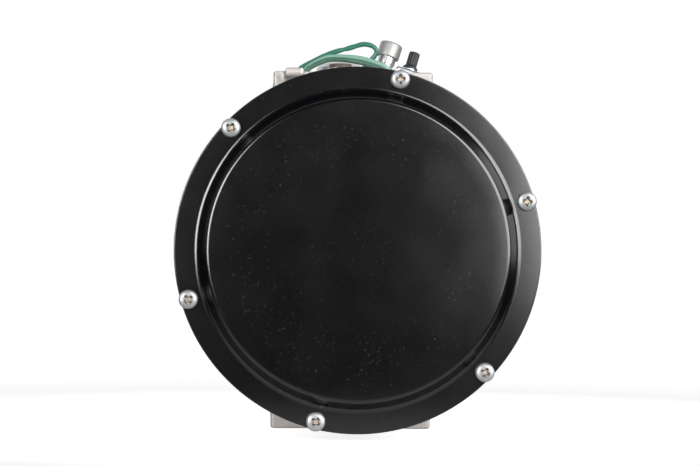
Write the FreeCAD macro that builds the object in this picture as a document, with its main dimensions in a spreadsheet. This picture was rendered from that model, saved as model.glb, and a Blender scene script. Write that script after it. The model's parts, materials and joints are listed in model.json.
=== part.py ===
"""Belt-driven axial-piston refrigerant compressor with an electromagnetic clutch.

The shaft lies along Y and the clutch end faces -Y. Z is up and X is to the right of a person who
faces the clutch. The origin is the centre of the four mounting holes. Lengths are in millimetres.
Azimuths are in degrees about the shaft, from straight up towards +X.
"""
import FreeCAD, Part
import math
import os
import re
import Sketcher

Vector = FreeCAD.Vector
Rotation = FreeCAD.Rotation
Placement = FreeCAD.Placement

DIMENSIONS = {
    # casting and mounting lugs
    "body_radius": 60,
    "lobe_radius": 6.5,
    "bolt_circle": 57,
    "bolt_radius": 3,
    "bolt_hole_radius": 3.2,
    "bolt_count": 5,
    "bolt_azimuth": 36,
    "bolt_end": 66,
    "bolt_washer_radius": 6.2,
    "bolt_washer_sheet": 1,
    "bolt_head_radius": 5.6,
    "bolt_head_top": 5.5,
    "block_end": 49.5,
    "centre_bore_radius": 14,
    "overrun": 1,
    "joint_gap": 0.25,
    "lug_half_width": 35.2,
    "lug_half_depth": 9,
    "lug_top": 78.8,
    "lug_gap_left": 14,
    "lug_gap_right": 20,
    "lug_hole_radius": 4.25,
    "lug_hole_height": 70,
    "lug_hole_offset": 40,
    "lug_root": 40,
    "lug_rounding": 0.5,
    "foot_half_width": 31,
    "foot_top": 60,
    "tab_left": 29.9,
    "tab_right": 22.2,
    "tab_low": 75.8,
    "tab_top": 79.5,
    "tab_front": 63,
    "tab_rounding": 0.4,
    # swash mechanism
    "tilt_angle": 17,
    "piston_circle": 36,
    "bore_radius": 16,
    "piston_radius": 15.95,
    "piston_half_length": 38,
    "chamber_radius": 52.6,
    "chamber_half": 20,
    "bridge_inner": 47.2,
    "shoe_radius": 10,
    "shoe_land": 8.3,
    "shoe_gap": 0.02,
    "pocket_radius": 10.05,
    "ring_radius": 46.5,
    "ring_half": 5,
    "ring_bore": 20.03,
    "ring_rib_half": 2,
    "ring_recess": 26,
    "hub_journal": 20,
    "hub_flange": 25.5,
    "hub_flange_end": 6.4,
    "hub_boss": 16,
    "hub_boss_half": 17,
    "hub_journal_half": 4,
    "needle_inner_play": 0.1,
    "needle_outer_play": 0.2,
    "shoe_overlap": 1,
    "piston_neck_inner": 6.5,
    "piston_neck_rim": 8,
    "piston_neck_radius": 6.4,
    "piston_cone_foot": 8.7,
    "piston_cone_radius": 8.8,
    "piston_back": 13.5,
    "piston_back_radius": 12,
    "piston_chamfer": 0.6,
    "bridge_half": 16,
    "bridge_half_width": 20,
    "shaft_radius": 10,
    "shaft_way_radius": 10.5,
    "shaft_front": 126,
    "shaft_rear": 46,
    "shaft_thread_radius": 5,
    "shaft_thread_end": 121.6,
    "shaft_taper_radius": 8,
    "shaft_taper_end": 103,
    "shaft_seal_radius": 9,
    "thrust_race_radius": 17,
    "cup_inner": 26,
    "cup_outer": 47,
    "slip": 0.03,
    # heads and valve plates
    "reed_sheet": 0.4,
    "plate_sheet": 3.2,
    "gasket_sheet": 0.5,
    "cylinder_count": 5,
    "reed_port_radius": 2.6,
    "discharge_port_radius": 2.5,
    "discharge_circle": 28,
    "suction_port_radius": 3.4,
    "suction_circle": 44,
    "tongue_half_width": 5,
    "tongue_low": 38,
    "tongue_high": 50,
    "tongue_slit": 0.6,
    "finger_half_width": 3.6,
    "finger_low": 20,
    "finger_high": 31.5,
    "star_radius": 22,
    "star_bore": 18.2,
    "head_floor": 70,
    "front_head_face": 79,
    "rear_head_face": 82,
    "inner_wall_low": 33,
    "inner_wall_high": 37,
    "outer_wall": 53.5,
    "discharge_inner": 18,
    "nose_flange_radius": 58,
    "nose_flange_sheet": 3,
    "front_disc_setback": 2,
    "nose_radius": 17.5,
    "nose_end": 113.5,
    "neck_radius": 20,
    "neck_end": 90.4,
    "seal_bore": 13,
    "seal_stop": 88,
    "seal_front": 98,
    "seal_cup_end": 96,
    "seal_lip_end": 94,
    "seal_cup_radius": 11.2,
    "seal_ring_front": 99.8,
    "seal_ring_back": 98.5,
    "seal_ring_depth": 1,
    "seal_ring_inner": 11.8,
    "coil_seat": 81,
    "coil_ring_front": 82.3,
    "coil_ring_depth": 1,
    "coil_ring_outer": 23,
    "race_ring_front": 111.7,
    "race_ring_depth": 1.2,
    "race_ring_outer": 19.5,
    "cap_shoulder": 9,
    "cap_slope_radius": 3,
    "cap_slope": 4,
    "cap_crown_radius": 9,
    "cap_crown": 1,
    "cap_flat_radius": 30,
    "rib_half_width": 2.2,
    "rib_root": 4,
    "rib_height": 3,
    "rib_low": 14,
    "rib_high": 52,
    "rear_boss_radius": 16,
    "rear_boss_height": 4,
    "relief_x": -24,
    "relief_z": -33,
    "relief_boss_radius": 9,
    "relief_boss_root": 8,
    "relief_boss_height": 5,
    "relief_seat_radius": 5,
    "relief_hex_radius": 8,
    "relief_hex_top": 10,
    "relief_stem_radius": 5.5,
    "relief_stem_top": 20,
    "relief_vent_radius": 2,
    "relief_vent_floor": 12,
    "relief_depth": 2,
    # clutch
    "bearing_width": 20,
    "bearing_outer": 27.5,
    "race_inner_top": 20.6,
    "race_outer_low": 24.4,
    "ball_circle": 22.5,
    "ball_radius": 4,
    "ball_count": 12,
    "pulley_radius": 76,
    "crest_radius": 75,
    "groove_depth": 2.8,
    "groove_pitch": 3.56,
    "groove_count": 8,
    "groove_first": 117.7,
    "groove_mouth": 1.45,
    "groove_floor": 0.35,
    "groove_proud": 0.4,
    "pulley_front": 125,
    "pulley_rear": 88,
    "rim_setback": 0.2,
    "rim_band_end": 119.7,
    "rim_ramp_end": 119.3,
    "rear_band_start": 90.5,
    "rear_ramp_start": 91,
    "recess_radius": 68.5,
    "recess_slope": 4,
    "face_radius": 64,
    "bearing_lip": 2,
    "pulley_slot_radius": 3,
    "pulley_slot_circle": 48,
    "pulley_slot_count": 6,
    "drum_rear": 86.5,
    "bearing_ring_rear": 89.1,
    "bearing_ring_depth": 1.2,
    "bearing_ring_inner": 26,
    "cage_half_sheet": 1.2,
    "cage_half_width": 5.6,
    "cage_pocket_reach": 3,
    "friction_face": 112,
    "web_rear": 104,
    "coil_bore": 62,
    "drum_radius": 33,
    "coil_inner": 33.6,
    "coil_outer": 61.4,
    "coil_front": 103,
    "coil_wall": 3,
    "coil_floor": 84.5,
    "winding_setback": 0.6,
    "air_gap": 0.6,
    "armature_sheet": 4.5,
    "armature_inner": 34,
    "armature_outer": 60,
    "armature_slot_inner": 46.5,
    "armature_slot_outer": 49,
    "armature_slot_half": 24,
    "armature_slot_low": 30,
    "armature_slot_high": 60,
    "rivet_count": 3,
    "rivet_circle": 42,
    "rivet_head_radius": 4,
    "rivet_shank_radius": 2.4,
    "rivet_head_sheet": 1.6,
    "spring_standoff": 0.5,
    "spring_sheet": 1,
    "leaf_half_width": 6,
    "leaf_low": 14,
    "leaf_high": 48,
    "leaf_bore": 12,
    "leaf_rivet_hole": 2.45,
    "hub_sheet": 3,
    "hub_plate_radius": 24,
    "hub_sleeve_radius": 11.5,
    "nut_height": 4,
    "nut_radius": 8,
    # dust cover and its screws
    "cover_sheet": 1,
    "plateau_radius": 62.5,
    "plateau_foot": 67.1,
    "plateau_rise": 6,
    "plateau_crown": 0.8,
    "cover_lean_in": 0.6,
    "cover_bend": 1.6,
    "screw_circle": 72.8,
    "screw_count": 6,
    "screw_azimuth": 73.4,
    "screw_radius": 2,
    "screw_length": 6,
    "screw_head_radius": 4,
    "screw_head_height": 2.9,
    "screw_head_rounding": 1.2,
    "screw_hole_radius": 2.15,
    "screw_thread_depth": 5.4,
    "recess_half_length": 2.1,
    "recess_half_web": 0.45,
    "recess_depth": 1.7,
    # port block and valves on top
    "pad_top": 66,
    "pad_front": 1,
    "pad_back": 29,
    "port_left": 27,
    "port_right": 33,
    "port_front": 3,
    "port_back": 30.6,
    "port_top": 80,
    "port_rounding": 2.5,
    "port_x": -4.2,
    "port_radius": 4.4,
    "port_depth": 12,
    "port_boss_root": 3,
    "front_port_y": 3.6,
    "front_port_boss": 6.2,
    "front_port_top": 83.8,
    "rear_port_y": 19.6,
    "rear_port_boss": 11,
    "rear_port_top": 87.5,
    "rear_port_wall": 4,
    "rear_port_edge": 2.4,
    "rear_port_edge_in": 0.6,
    "rear_port_dome": 0.9,
    "rear_port_dome_in": 2.2,
    "rear_port_flat_in": 4.4,
    "plug_radius": 5.2,
    "plug_recess_radius": 5.5,
    "plug_recess_floor": 2.2,
    "plug_shank_radius": 4.35,
    "plug_cap": 2,
    "plug_depth": 9,
    "clamp_x": -20.5,
    "clamp_y": 14,
    "clamp_thread_radius": 2.5,
    "clamp_thread_depth": 12,
    "block_screw_left": -22.5,
    "block_screw_right": 21,
    "block_screw_front": 1.6,
    "block_screw_back": 26.4,
    "block_screw_radius": 2.5,
    "block_screw_head": 3.6,
    "block_screw_top": 3.4,
    "block_screw_socket": 2,
    "block_screw_floor": 1.6,
    "valve_y": 15,
    "valve_lean": 19.5,
    "valve_x": 14.9,
    "valve_depth": 8,
    "valve_stem_radius": 4.1,
    "valve_collar_radius": 4.9,
    "valve_collar_low": 3,
    "valve_collar_high": 4.4,
    "valve_cap_sheet": 1.4,
    "valve_cap_radius": 5.25,
    "valve_cap_low": 10.4,
    "valve_cap_high": 17.4,
    "purge_lean": 18.5,
    "purge_x": 27.2,
    "purge_depth": 7,
    "purge_stem_radius": 1.8,
    "purge_collar_radius": 3.4,
    "purge_collar_low": 3.9,
    "purge_cap_low": 4.6,
    "purge_flare_radius": 3.5,
    "purge_flare_high": 5.8,
    "purge_neck": 5.6,
    "purge_cap_radius": 2.6,
    "purge_cap_high": 13,
    "purge_cap_sheet": 1,
    "flute_count": 10,
    "flute_radius": 0.35,
    "flute_low": 6.6,
    "strap_left": 6.4,
    "strap_right": 5.6,
    "strap_half_depth": 4.6,
    "strap_low": 2.1,
    "strap_rounding": 1.2,
    "wire_radius": 1.1,
}

# the two valves lean towards a line this far round from +X towards +Y
LEAN_HEADING = math.radians(25)
CYLINDERS = DIMENSIONS["cylinder_count"]
CYLINDER_STEP = 360 / CYLINDERS

doc = FreeCAD.newDocument("compressor")
sheet = doc.addObject("Spreadsheet::Sheet", "dims")
for row, (alias, number) in enumerate(DIMENSIONS.items(), start=1):
    sheet.set(f"A{row}", alias)
    sheet.set(f"B{row}", str(number))
    sheet.setAlias(f"B{row}", alias)
doc.recompute()

nodes = []


# ---------------------------------------------------------------- sizes and features

def ref(size):
    """Write a size given in plain names as an expression that reads the sheet."""
    def point_at_sheet(word):
        return "dims." + word.group(0) if word.group(0) in DIMENSIONS else word.group(0)
    return re.sub(r"[a-z][a-z_]*", point_at_sheet, str(size))


def value(size):
    """The number that a size has in the sheet."""
    return float(sheet.evalExpression(ref(size)))


def bind(thing, **sizes):
    """Bind properties of a feature to sizes in the sheet."""
    for prop, size in sizes.items():
        thing.setExpression(prop, ref(size))


def move_to(thing, x, y, z):
    """Bind a feature's position to sizes in the sheet."""
    for axis, size in zip("xyz", (x, y, z)):
        thing.setExpression("Placement.Base." + axis, ref(size))


def node(label, thing):
    """Name a finished sub-part; its label is also its file's name."""
    thing.Label = label
    nodes.append(thing)
    return thing


def bar(radius, low, high, x="0", z="0"):
    """A round bar parallel to the shaft, from y = low to y = high."""
    thing = doc.addObject("Part::Cylinder", "bar")
    thing.Placement = Placement(Vector(), Rotation(Vector(1, 0, 0), -90))
    bind(thing, Radius=radius, Height=f"({high}) - ({low})")
    move_to(thing, x, low, z)
    return thing


def post(radius, low, high, x="0", y="0"):
    """A round bar that stands upright, from z = low to z = high."""
    thing = doc.addObject("Part::Cylinder", "post")
    bind(thing, Radius=radius, Height=f"({high}) - ({low})")
    move_to(thing, x, y, low)
    return thing


def cross_bar(radius, low, high, y="0", z="0"):
    """A round bar parallel to X, from x = low to x = high."""
    thing = doc.addObject("Part::Cylinder", "cross_bar")
    thing.Placement = Placement(Vector(), Rotation(Vector(0, 1, 0), 90))
    bind(thing, Radius=radius, Height=f"({high}) - ({low})")
    move_to(thing, low, y, z)
    return thing


def brick(x, y, z):
    """A box between two sizes along each axis."""
    thing = doc.addObject("Part::Box", "brick")
    bind(thing, Length=f"({x[1]}) - ({x[0]})", Width=f"({y[1]}) - ({y[0]})", Height=f"({z[1]}) - ({z[0]})")
    move_to(thing, x[0], y[0], z[0])
    return thing


def hexagon(across_corners_radius, low, high, x="0", z="0"):
    """A hexagonal bar parallel to the shaft."""
    thing = doc.addObject("Part::Prism", "hexagon")
    thing.Polygon = 6
    thing.Placement = Placement(Vector(), Rotation(Vector(1, 0, 0), -90))
    bind(thing, Circumradius=across_corners_radius, Height=f"({high}) - ({low})")
    move_to(thing, x, low, z)
    return thing


def ball(radius, x="0", y="0", z="0"):
    """A sphere about a point."""
    thing = doc.addObject("Part::Sphere", "ball")
    bind(thing, Radius=radius)
    move_to(thing, x, y, z)
    return thing


def group(things):
    """Separate solids kept side by side in one feature."""
    thing = doc.addObject("Part::Compound", "group")
    thing.Links = things
    return thing


def fuse(*things):
    """One solid made of several that meet."""
    thing = doc.addObject("Part::MultiFuse", "joined")
    thing.Shapes = list(things)
    thing.Refine = True
    return thing


def cut(base, *tools):
    """A solid with one or more others taken away."""
    thing = doc.addObject("Part::Cut", "cut")
    thing.Base = base
    thing.Tool = tools[0] if len(tools) == 1 else fuse(*tools)
    return thing


def common(first, second):
    """What two solids share."""
    thing = doc.addObject("Part::Common", "shared")
    thing.Base = first
    thing.Tool = second
    return thing


def around(count, radius, azimuth, make):
    """Call make(x, z) for evenly spaced places on a circle about the shaft."""
    made = []
    for index in range(int(value(count))):
        angle = f"(({azimuth}) + {index} * 360 / {count}) * 1deg"
        made.append(make(f"({radius}) * sin({angle})", f"({radius}) * cos({angle})"))
    return made


def origin_plane(body, role):
    """One of a body's own origin planes."""
    return next(item for item in body.Origin.OriginFeatures if item.Role == role)


def outline_sketch(body, name, corners):
    """A closed outline of straight lines, each corner held at its (radius, y) sizes."""
    sketch = body.newObject("Sketcher::SketchObject", name)
    sketch.AttachmentSupport = [(origin_plane(body, "XY_Plane"), "")]
    sketch.MapMode = "FlatFace"
    points = [Vector(value(radius), value(y), 0) for radius, y in corners]
    count = len(points)
    sketch.addGeometry([Part.LineSegment(points[i], points[(i + 1) % count]) for i in range(count)])
    sketch.addConstraint([
        Sketcher.Constraint("Coincident", i, 2, (i + 1) % count, 1) for i in range(count)
    ])
    for i, (radius, y) in enumerate(corners):
        across = Sketcher.Constraint("DistanceX", -1, 1, i, 1, points[i].x)
        along = Sketcher.Constraint("DistanceY", -1, 1, i, 1, points[i].y)
        first, second = sketch.addConstraint([across, along])
        sketch.setExpression(f"Constraints[{first}]", ref(radius))
        sketch.setExpression(f"Constraints[{second}]", ref(y))
    return sketch


def turned(name, corners):
    """A body of revolution about the shaft axis, from its (radius, y) corners."""
    body = doc.addObject("PartDesign::Body", name)
    sketch = outline_sketch(body, name + "_outline", corners)
    turn = body.newObject("PartDesign::Revolution", name + "_turn")
    turn.Profile = sketch
    turn.ReferenceAxis = (sketch, ["V_Axis"])
    turn.Angle = 360
    sketch.Visibility = False
    body.Tip = turn
    return body


def round_rims(body, radius, rims):
    """Round the circular edges of a turned body that pass through the given (radius, y) corners."""
    doc.recompute()
    base = body.Tip
    places = [(value(rim_radius), value(y)) for rim_radius, y in rims]

    def is_rim(edge):
        if not isinstance(edge.Curve, Part.Circle):
            return False
        here = (edge.Curve.Radius, edge.Curve.Center.y)
        return any(abs(here[0] - r) < 0.01 and abs(here[1] - y) < 0.01 for r, y in places)

    names = [f"Edge{number}" for number, edge in enumerate(base.Shape.Edges, start=1) if is_rim(edge)]
    rounding = body.newObject("PartDesign::Fillet", body.Name + "_round")
    rounding.Base = (base, names)
    bind(rounding, Radius=radius)
    body.Tip = rounding
    return body


def round_free_edges(block, radius, root=Vector(0, 0, -1)):
    """A box with its edges rounded, except those of the face on its root side."""
    doc.recompute()
    box = block.Shape.BoundBox
    half = (abs(root.x) * box.XLength + abs(root.y) * box.YLength + abs(root.z) * box.ZLength) / 2
    size = value(radius)
    rounding = doc.addObject("Part::Fillet", "rounded_box")
    rounding.Base = block
    rounding.Edges = [
        (number, size, size)
        for number, edge in enumerate(block.Shape.Edges, start=1)
        if (edge.CenterOfMass - box.Center).dot(root) < half - 0.01
    ]
    return rounding


def ring(name, inner, outer, low, high):
    """A plain turned ring."""
    return turned(name, [(inner, low), (outer, low), (outer, high), (inner, high)])


def swing(thing, azimuth):
    """Turn a feature about the shaft by an azimuth."""
    thing.Placement = Placement(Vector(), Rotation(Vector(0, 1, 0), azimuth))
    return thing


def tilt(thing):
    """Lean a feature about X so that its own Y axis becomes the swash normal."""
    thing.Placement = Placement(Vector(), Rotation(Vector(1, 0, 0), value("tilt_angle")))
    thing.setExpression("Placement.Rotation.Angle", ref("tilt_angle"))
    return thing


def lean(thing, x, angle):
    """Stand a feature, made upright at the origin, on the port block and lean it to the right and back."""
    hinge = Vector(-math.sin(LEAN_HEADING), math.cos(LEAN_HEADING), 0)
    thing.Placement = Placement(Vector(), Rotation(hinge, value(angle)))
    thing.setExpression("Placement.Rotation.Angle", ref(angle))
    move_to(thing, x, "valve_y", "port_top")
    return thing


# ---------------------------------------------------------------- castings

def at_bolts(radius, low, high):
    """A round bar at each of the five through bolts."""
    return around("bolt_count", "bolt_circle", "bolt_azimuth", lambda x, z: bar(radius, low, high, x, z))


def casting_disc(low, high):
    """A slice of the casting's outline: a disc with a lobe round each through bolt."""
    return fuse(bar("body_radius", low, high), *at_bolts("lobe_radius", low, high))


def mounting_lug(side, y):
    """One mounting lug: two ears with a gap between them; side is 1 above and -1 below the shaft."""
    upright = ("lug_root", "lug_top") if side > 0 else ("-lug_top", "-lug_root")
    depth = (f"({y}) - lug_half_depth", f"({y}) + lug_half_depth")
    root = Vector(0, 0, -side)
    left = brick(("-lug_half_width", "-lug_gap_left"), depth, upright)
    right = brick(("lug_gap_right", "lug_half_width"), depth, upright)
    foot = brick(
        ("-foot_half_width", "foot_half_width"),
        depth,
        ("lug_root", "foot_top") if side > 0 else ("-foot_top", "-lug_root"),
    )
    return [
        round_free_edges(left, "lug_rounding", root), round_free_edges(right, "lug_rounding", root),
        foot,
    ]


def wire_tab():
    """A small square tab that stands out in front of the upper left ear."""
    tab = brick(
        ("-tab_left", "-tab_right"), ("-tab_front", "-lug_hole_offset"), ("tab_low", "tab_top"),
    )
    return round_free_edges(tab, "tab_rounding", Vector(0, 1, 0))


def cylinder_block(label, side):
    """Half of the cylinder block; side is -1 for the clutch end and 1 for the far end."""
    near, far = ("-block_end", "-joint_gap") if side < 0 else ("joint_gap", "block_end")
    lug_y = f"lug_hole_offset * {side}"
    pieces = [casting_disc(near, far)]
    for up in (1, -1):
        pieces += mounting_lug(up, lug_y)
    if side > 0:
        pieces.append(brick(("-port_left", "port_right"), ("pad_front", "pad_back"), ("lug_root", "pad_top")))
    else:
        pieces.append(wire_tab())
    solid = fuse(*pieces)
    chamber = bar("chamber_radius", "-chamber_half", "chamber_half")
    bores = around("cylinder_count", "piston_circle", "0", lambda x, z: bar("bore_radius", near, far, x, z))
    centre = bar("centre_bore_radius", near, far)
    left, right = "-lug_half_width - overrun", "lug_half_width + overrun"
    lug_holes = [
        cross_bar("lug_hole_radius", left, right, lug_y, f"lug_hole_height * {up}")
        for up in (1, -1)
    ]
    solid = cut(solid, chamber, centre, *bores)
    solid = cut(solid, group(at_bolts("bolt_hole_radius", near, far) + lug_holes))
    return node(label, solid)


def build_castings():
    """Cylinder blocks, heads, and what is clamped between them."""
    cylinder_block("front_cylinder_block", -1)
    cylinder_block("rear_cylinder_block", 1)
    gasket = cut(casting_disc("-joint_gap", "joint_gap"), bar("chamber_radius", "-joint_gap", "joint_gap"))
    node("block_gasket", cut(gasket, group(at_bolts("bolt_hole_radius", "-joint_gap", "joint_gap"))))

    reed_face = "(block_end + reed_sheet)"
    plate_face = "(block_end + reed_sheet + plate_sheet)"
    head_face = "(block_end + reed_sheet + plate_sheet + gasket_sheet)"
    suction_reeds, discharge_reeds, gaskets = [], [], []
    for side, name in ((-1, "front"), (1, "rear")):
        def span(near, far):
            return (f"-{far}", f"-{near}") if side < 0 else (near, far)

        def ports(radius, circle, low, high):
            return around("cylinder_count", circle, "0", lambda x, z: bar(radius, low, high, x, z))

        low, high = span("block_end", reed_face)
        reed = bar("outer_wall", low, high)
        slots = []
        for index in range(CYLINDERS):
            tongue = cut(
                brick(
                    ("-tongue_half_width", "tongue_half_width"),
                    (low, high),
                    ("tongue_low", "tongue_high"),
                ),
                brick(
                    ("tongue_slit - tongue_half_width", "tongue_half_width - tongue_slit"),
                    (low, high),
                    ("tongue_low", "tongue_high - tongue_slit"),
                ),
            )
            slots.append(swing(tongue, index * CYLINDER_STEP))
        clear = ports("reed_port_radius", "discharge_circle", low, high)
        clear.append(bar("shaft_way_radius", low, high))
        suction_reeds.append(cut(reed, group(clear + slots)))

        low, high = span(reed_face, plate_face)
        holes = at_bolts("bolt_hole_radius", low, high)
        holes += ports("discharge_port_radius", "discharge_circle", low, high)
        holes += ports("suction_port_radius", "suction_circle", low, high)
        if side < 0:
            holes.append(bar("shaft_way_radius", low, high))
        node(f"{name}_valve_plate", cut(casting_disc(low, high), group(holes)))

        low, high = span(plate_face, head_face)
        outer = cut(casting_disc(low, high), bar("outer_wall", low, high))
        gaskets.append(cut(outer, group(at_bolts("bolt_hole_radius", low, high))))
        gaskets.append(ring(f"{name}_inner_gasket", "inner_wall_low", "inner_wall_high", low, high))

        fingers = []
        for index in range(CYLINDERS):
            finger = brick(
                ("-finger_half_width", "finger_half_width"),
                (low, high),
                ("finger_low", "finger_high"),
            )
            fingers.append(swing(finger, index * CYLINDER_STEP))
        star = fuse(bar("star_radius", low, high), *fingers)
        discharge_reeds.append(cut(star, bar("star_bore", low, high)))
    node("suction_reeds", group(suction_reeds))
    node("discharge_reeds", group(discharge_reeds))
    node("head_gaskets", group(gaskets))


def head_chambers(side):
    """The discharge and suction chambers of a head, open towards its valve plate."""
    face = "(block_end + reed_sheet + plate_sheet + gasket_sheet)"
    low, high = ("-head_floor", f"-{face}") if side < 0 else (face, "head_floor")
    discharge = ring("discharge_chamber", "discharge_inner", "inner_wall_low", low, high)
    suction = ring("suction_chamber", "inner_wall_high", "outer_wall", low, high)
    return [discharge, suction]


def build_heads():
    """Front head with its nose, rear head, through bolts and the relief valve."""
    face = "(block_end + reed_sheet + plate_sheet + gasket_sheet)"
    disc = casting_disc("-front_head_face + front_disc_setback", f"-{face}")
    nose = turned("nose", [
        ("shaft_way_radius", f"-{face} - overrun"), ("neck_radius", f"-{face} - overrun"),
        ("neck_radius", "-front_head_face + nose_flange_sheet"),
        ("nose_flange_radius", "-front_head_face + nose_flange_sheet"),
        ("nose_flange_radius", "-front_head_face"),
        ("neck_radius", "-front_head_face"), ("neck_radius", "-coil_seat"),
        ("neck_radius - coil_ring_depth", "-coil_seat"),
        ("neck_radius - coil_ring_depth", "-coil_ring_front"),
        ("neck_radius", "-coil_ring_front"), ("neck_radius", "-neck_end"), ("nose_radius", "-neck_end"),
        ("nose_radius", "-neck_end - bearing_width"),
        ("nose_radius - race_ring_depth", "-neck_end - bearing_width"),
        ("nose_radius - race_ring_depth", "-race_ring_front"), ("nose_radius", "-race_ring_front"),
        ("nose_radius", "-nose_end"), ("seal_bore", "-nose_end"), ("seal_bore", "-seal_ring_front"),
        ("seal_bore + seal_ring_depth", "-seal_ring_front"),
        ("seal_bore + seal_ring_depth", "-seal_ring_back"),
        ("seal_bore", "-seal_ring_back"), ("seal_bore", "-seal_stop"), ("shaft_way_radius", "-seal_stop"),
    ])
    head = fuse(disc, nose)
    shaft_way = bar("shaft_way_radius", "-seal_stop", f"-{face}")
    threads = at_bolts("bolt_radius", "-bolt_end", f"-{face}")
    node("front_head", cut(head, *head_chambers(-1), group([shaft_way] + threads)))

    outer = turned("rear_cap", [
        ("0", face), ("body_radius", face), ("body_radius", "rear_head_face - cap_shoulder"),
        ("body_radius - cap_slope_radius", "rear_head_face - cap_slope"),
        ("body_radius - cap_crown_radius", "rear_head_face - cap_crown"),
        ("cap_flat_radius", "rear_head_face"), ("0", "rear_head_face"),
    ])
    lobes = at_bolts("lobe_radius", face, "rear_head_face")
    ribs = []
    for index in range(CYLINDERS):
        rib = brick(
            ("-rib_half_width", "rib_half_width"),
            ("rear_head_face - rib_root", "rear_head_face + rib_height"),
            ("rib_low", "rib_high"),
        )
        ribs.append(swing(rib, value("bolt_azimuth") + index * CYLINDER_STEP))
    boss = bar("rear_boss_radius", "rear_head_face - rib_root", "rear_head_face + rear_boss_height")
    relief_top = "rear_head_face + relief_boss_height"

    def at_relief(radius, low, high):
        return bar(radius, low, high, "relief_x", "relief_z")

    relief_boss = at_relief("relief_boss_radius", "rear_head_face - relief_boss_root", relief_top)
    head = fuse(outer, boss, relief_boss, *lobes, *ribs)
    relief_hole = at_relief("relief_seat_radius", "head_floor - relief_depth", relief_top)
    holes = at_bolts("bolt_hole_radius", face, "rear_head_face")
    node("rear_head", cut(head, *head_chambers(1), group(holes + [relief_hole])))

    hex_top = "rear_head_face + relief_hex_top"
    stem_top = "rear_head_face + relief_stem_top"
    relief = fuse(
        at_relief("relief_seat_radius", "head_floor + relief_depth", relief_top),
        hexagon("relief_hex_radius", relief_top, hex_top, "relief_x", "relief_z"),
        at_relief("relief_stem_radius", hex_top, stem_top),
    )
    vent = at_relief("relief_vent_radius", "rear_head_face + relief_vent_floor", stem_top)
    node("relief_valve", cut(relief, vent))
    washer_top = "rear_head_face + bolt_washer_sheet"

    def through_bolt(x, z):
        return fuse(
            bar("bolt_radius", "-bolt_end", "rear_head_face", x, z),
            bar("bolt_washer_radius", "rear_head_face", washer_top, x, z),
            hexagon("bolt_head_radius", washer_top, "rear_head_face + bolt_head_top", x, z),
        )

    node("through_bolts", group(around("bolt_count", "bolt_circle", "bolt_azimuth", through_bolt)))


# ---------------------------------------------------------------- shaft, swash and pistons

def build_shaft():
    """The drive shaft and everything fixed to it inside the casting."""
    node("shaft", turned("shaft_bar", [
        ("0", "-shaft_front"), ("shaft_thread_radius", "-shaft_front"),
        ("shaft_thread_radius", "-shaft_thread_end"), ("shaft_taper_radius", "-shaft_thread_end"),
        ("shaft_taper_radius", "-shaft_taper_end"), ("shaft_seal_radius", "-shaft_taper_end"),
        ("shaft_seal_radius", "-seal_stop"), ("shaft_radius", "-seal_stop"),
        ("shaft_radius", "shaft_rear"), ("0", "shaft_rear"),
    ]))
    boss = bar("hub_boss", "-hub_boss_half", "hub_boss_half")
    flange = tilt(turned("flange", [
        ("0", "-hub_flange_end"), ("hub_flange", "-hub_flange_end"), ("hub_flange", "-hub_journal_half"),
        ("hub_journal", "-hub_journal_half"), ("hub_journal", "hub_journal_half"),
        ("0", "hub_journal_half"),
    ]))
    node("swash_hub", cut(fuse(boss, flange), bar("shaft_radius", "-hub_boss_half", "hub_boss_half")))
    plate = tilt(turned("plate", [
        ("0", "hub_journal_half"), ("hub_flange", "hub_journal_half"),
        ("hub_flange", "hub_flange_end"), ("0", "hub_flange_end"),
    ]))
    node("swash_hub_plate", cut(plate, bar("hub_boss", "-hub_boss_half", "hub_boss_half")))

    needles = []
    for low, high in (
        ("-hub_journal_half + slip", "-ring_rib_half - slip"),
        ("ring_rib_half + slip", "hub_journal_half - slip"),
    ):
        inner, outer = "hub_journal + needle_inner_play", "ring_recess - needle_outer_play"
        needles.append(tilt(ring("swash_needles", inner, outer, low, high)))
    node("swash_needle_bearings", group(needles))

    thrust = []
    for low, high in (("-chamber_half + slip", "-hub_boss_half"), ("hub_boss_half", "chamber_half - slip")):
        thrust.append(ring("thrust_race", "shaft_radius", "thrust_race_radius", low, high))
    node("shaft_thrust_bearings", group(thrust))

    node("swash_ring", tilt(turned("wobble_ring", [
        ("ring_bore", "-ring_rib_half"), ("ring_recess", "-ring_rib_half"), ("ring_recess", "-ring_half"),
        ("ring_radius", "-ring_half"), ("ring_radius", "ring_half"), ("ring_recess", "ring_half"),
        ("ring_recess", "ring_rib_half"), ("ring_bore", "ring_rib_half"),
    ])))

    cups = [
        ring("needle_cup", "shaft_radius + slip", "centre_bore_radius", low, high)
        for low, high in (("-cup_outer", "-cup_inner"), ("cup_inner", "cup_outer"))
    ]
    node("shaft_needle_bearings", group(cups))
    node("shaft_seal", turned("lip_seal", [
        ("shaft_seal_radius + slip", "-seal_front"), ("seal_bore", "-seal_front"),
        ("seal_bore", "-seal_stop"),
        ("seal_cup_radius", "-seal_stop"), ("seal_cup_radius", "-seal_cup_end"),
        ("shaft_seal_radius + slip", "-seal_lip_end"),
    ]))


def piston_place(index):
    """Where a piston's own origin lies at rest, with its azimuth."""
    azimuth = CYLINDER_STEP * index
    x = f"piston_circle * sin({azimuth}deg)"
    y = f"-piston_circle * tan(tilt_angle * 1deg) * cos({azimuth}deg)"
    z = f"piston_circle * cos({azimuth}deg)"
    return azimuth, x, y, z


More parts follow.
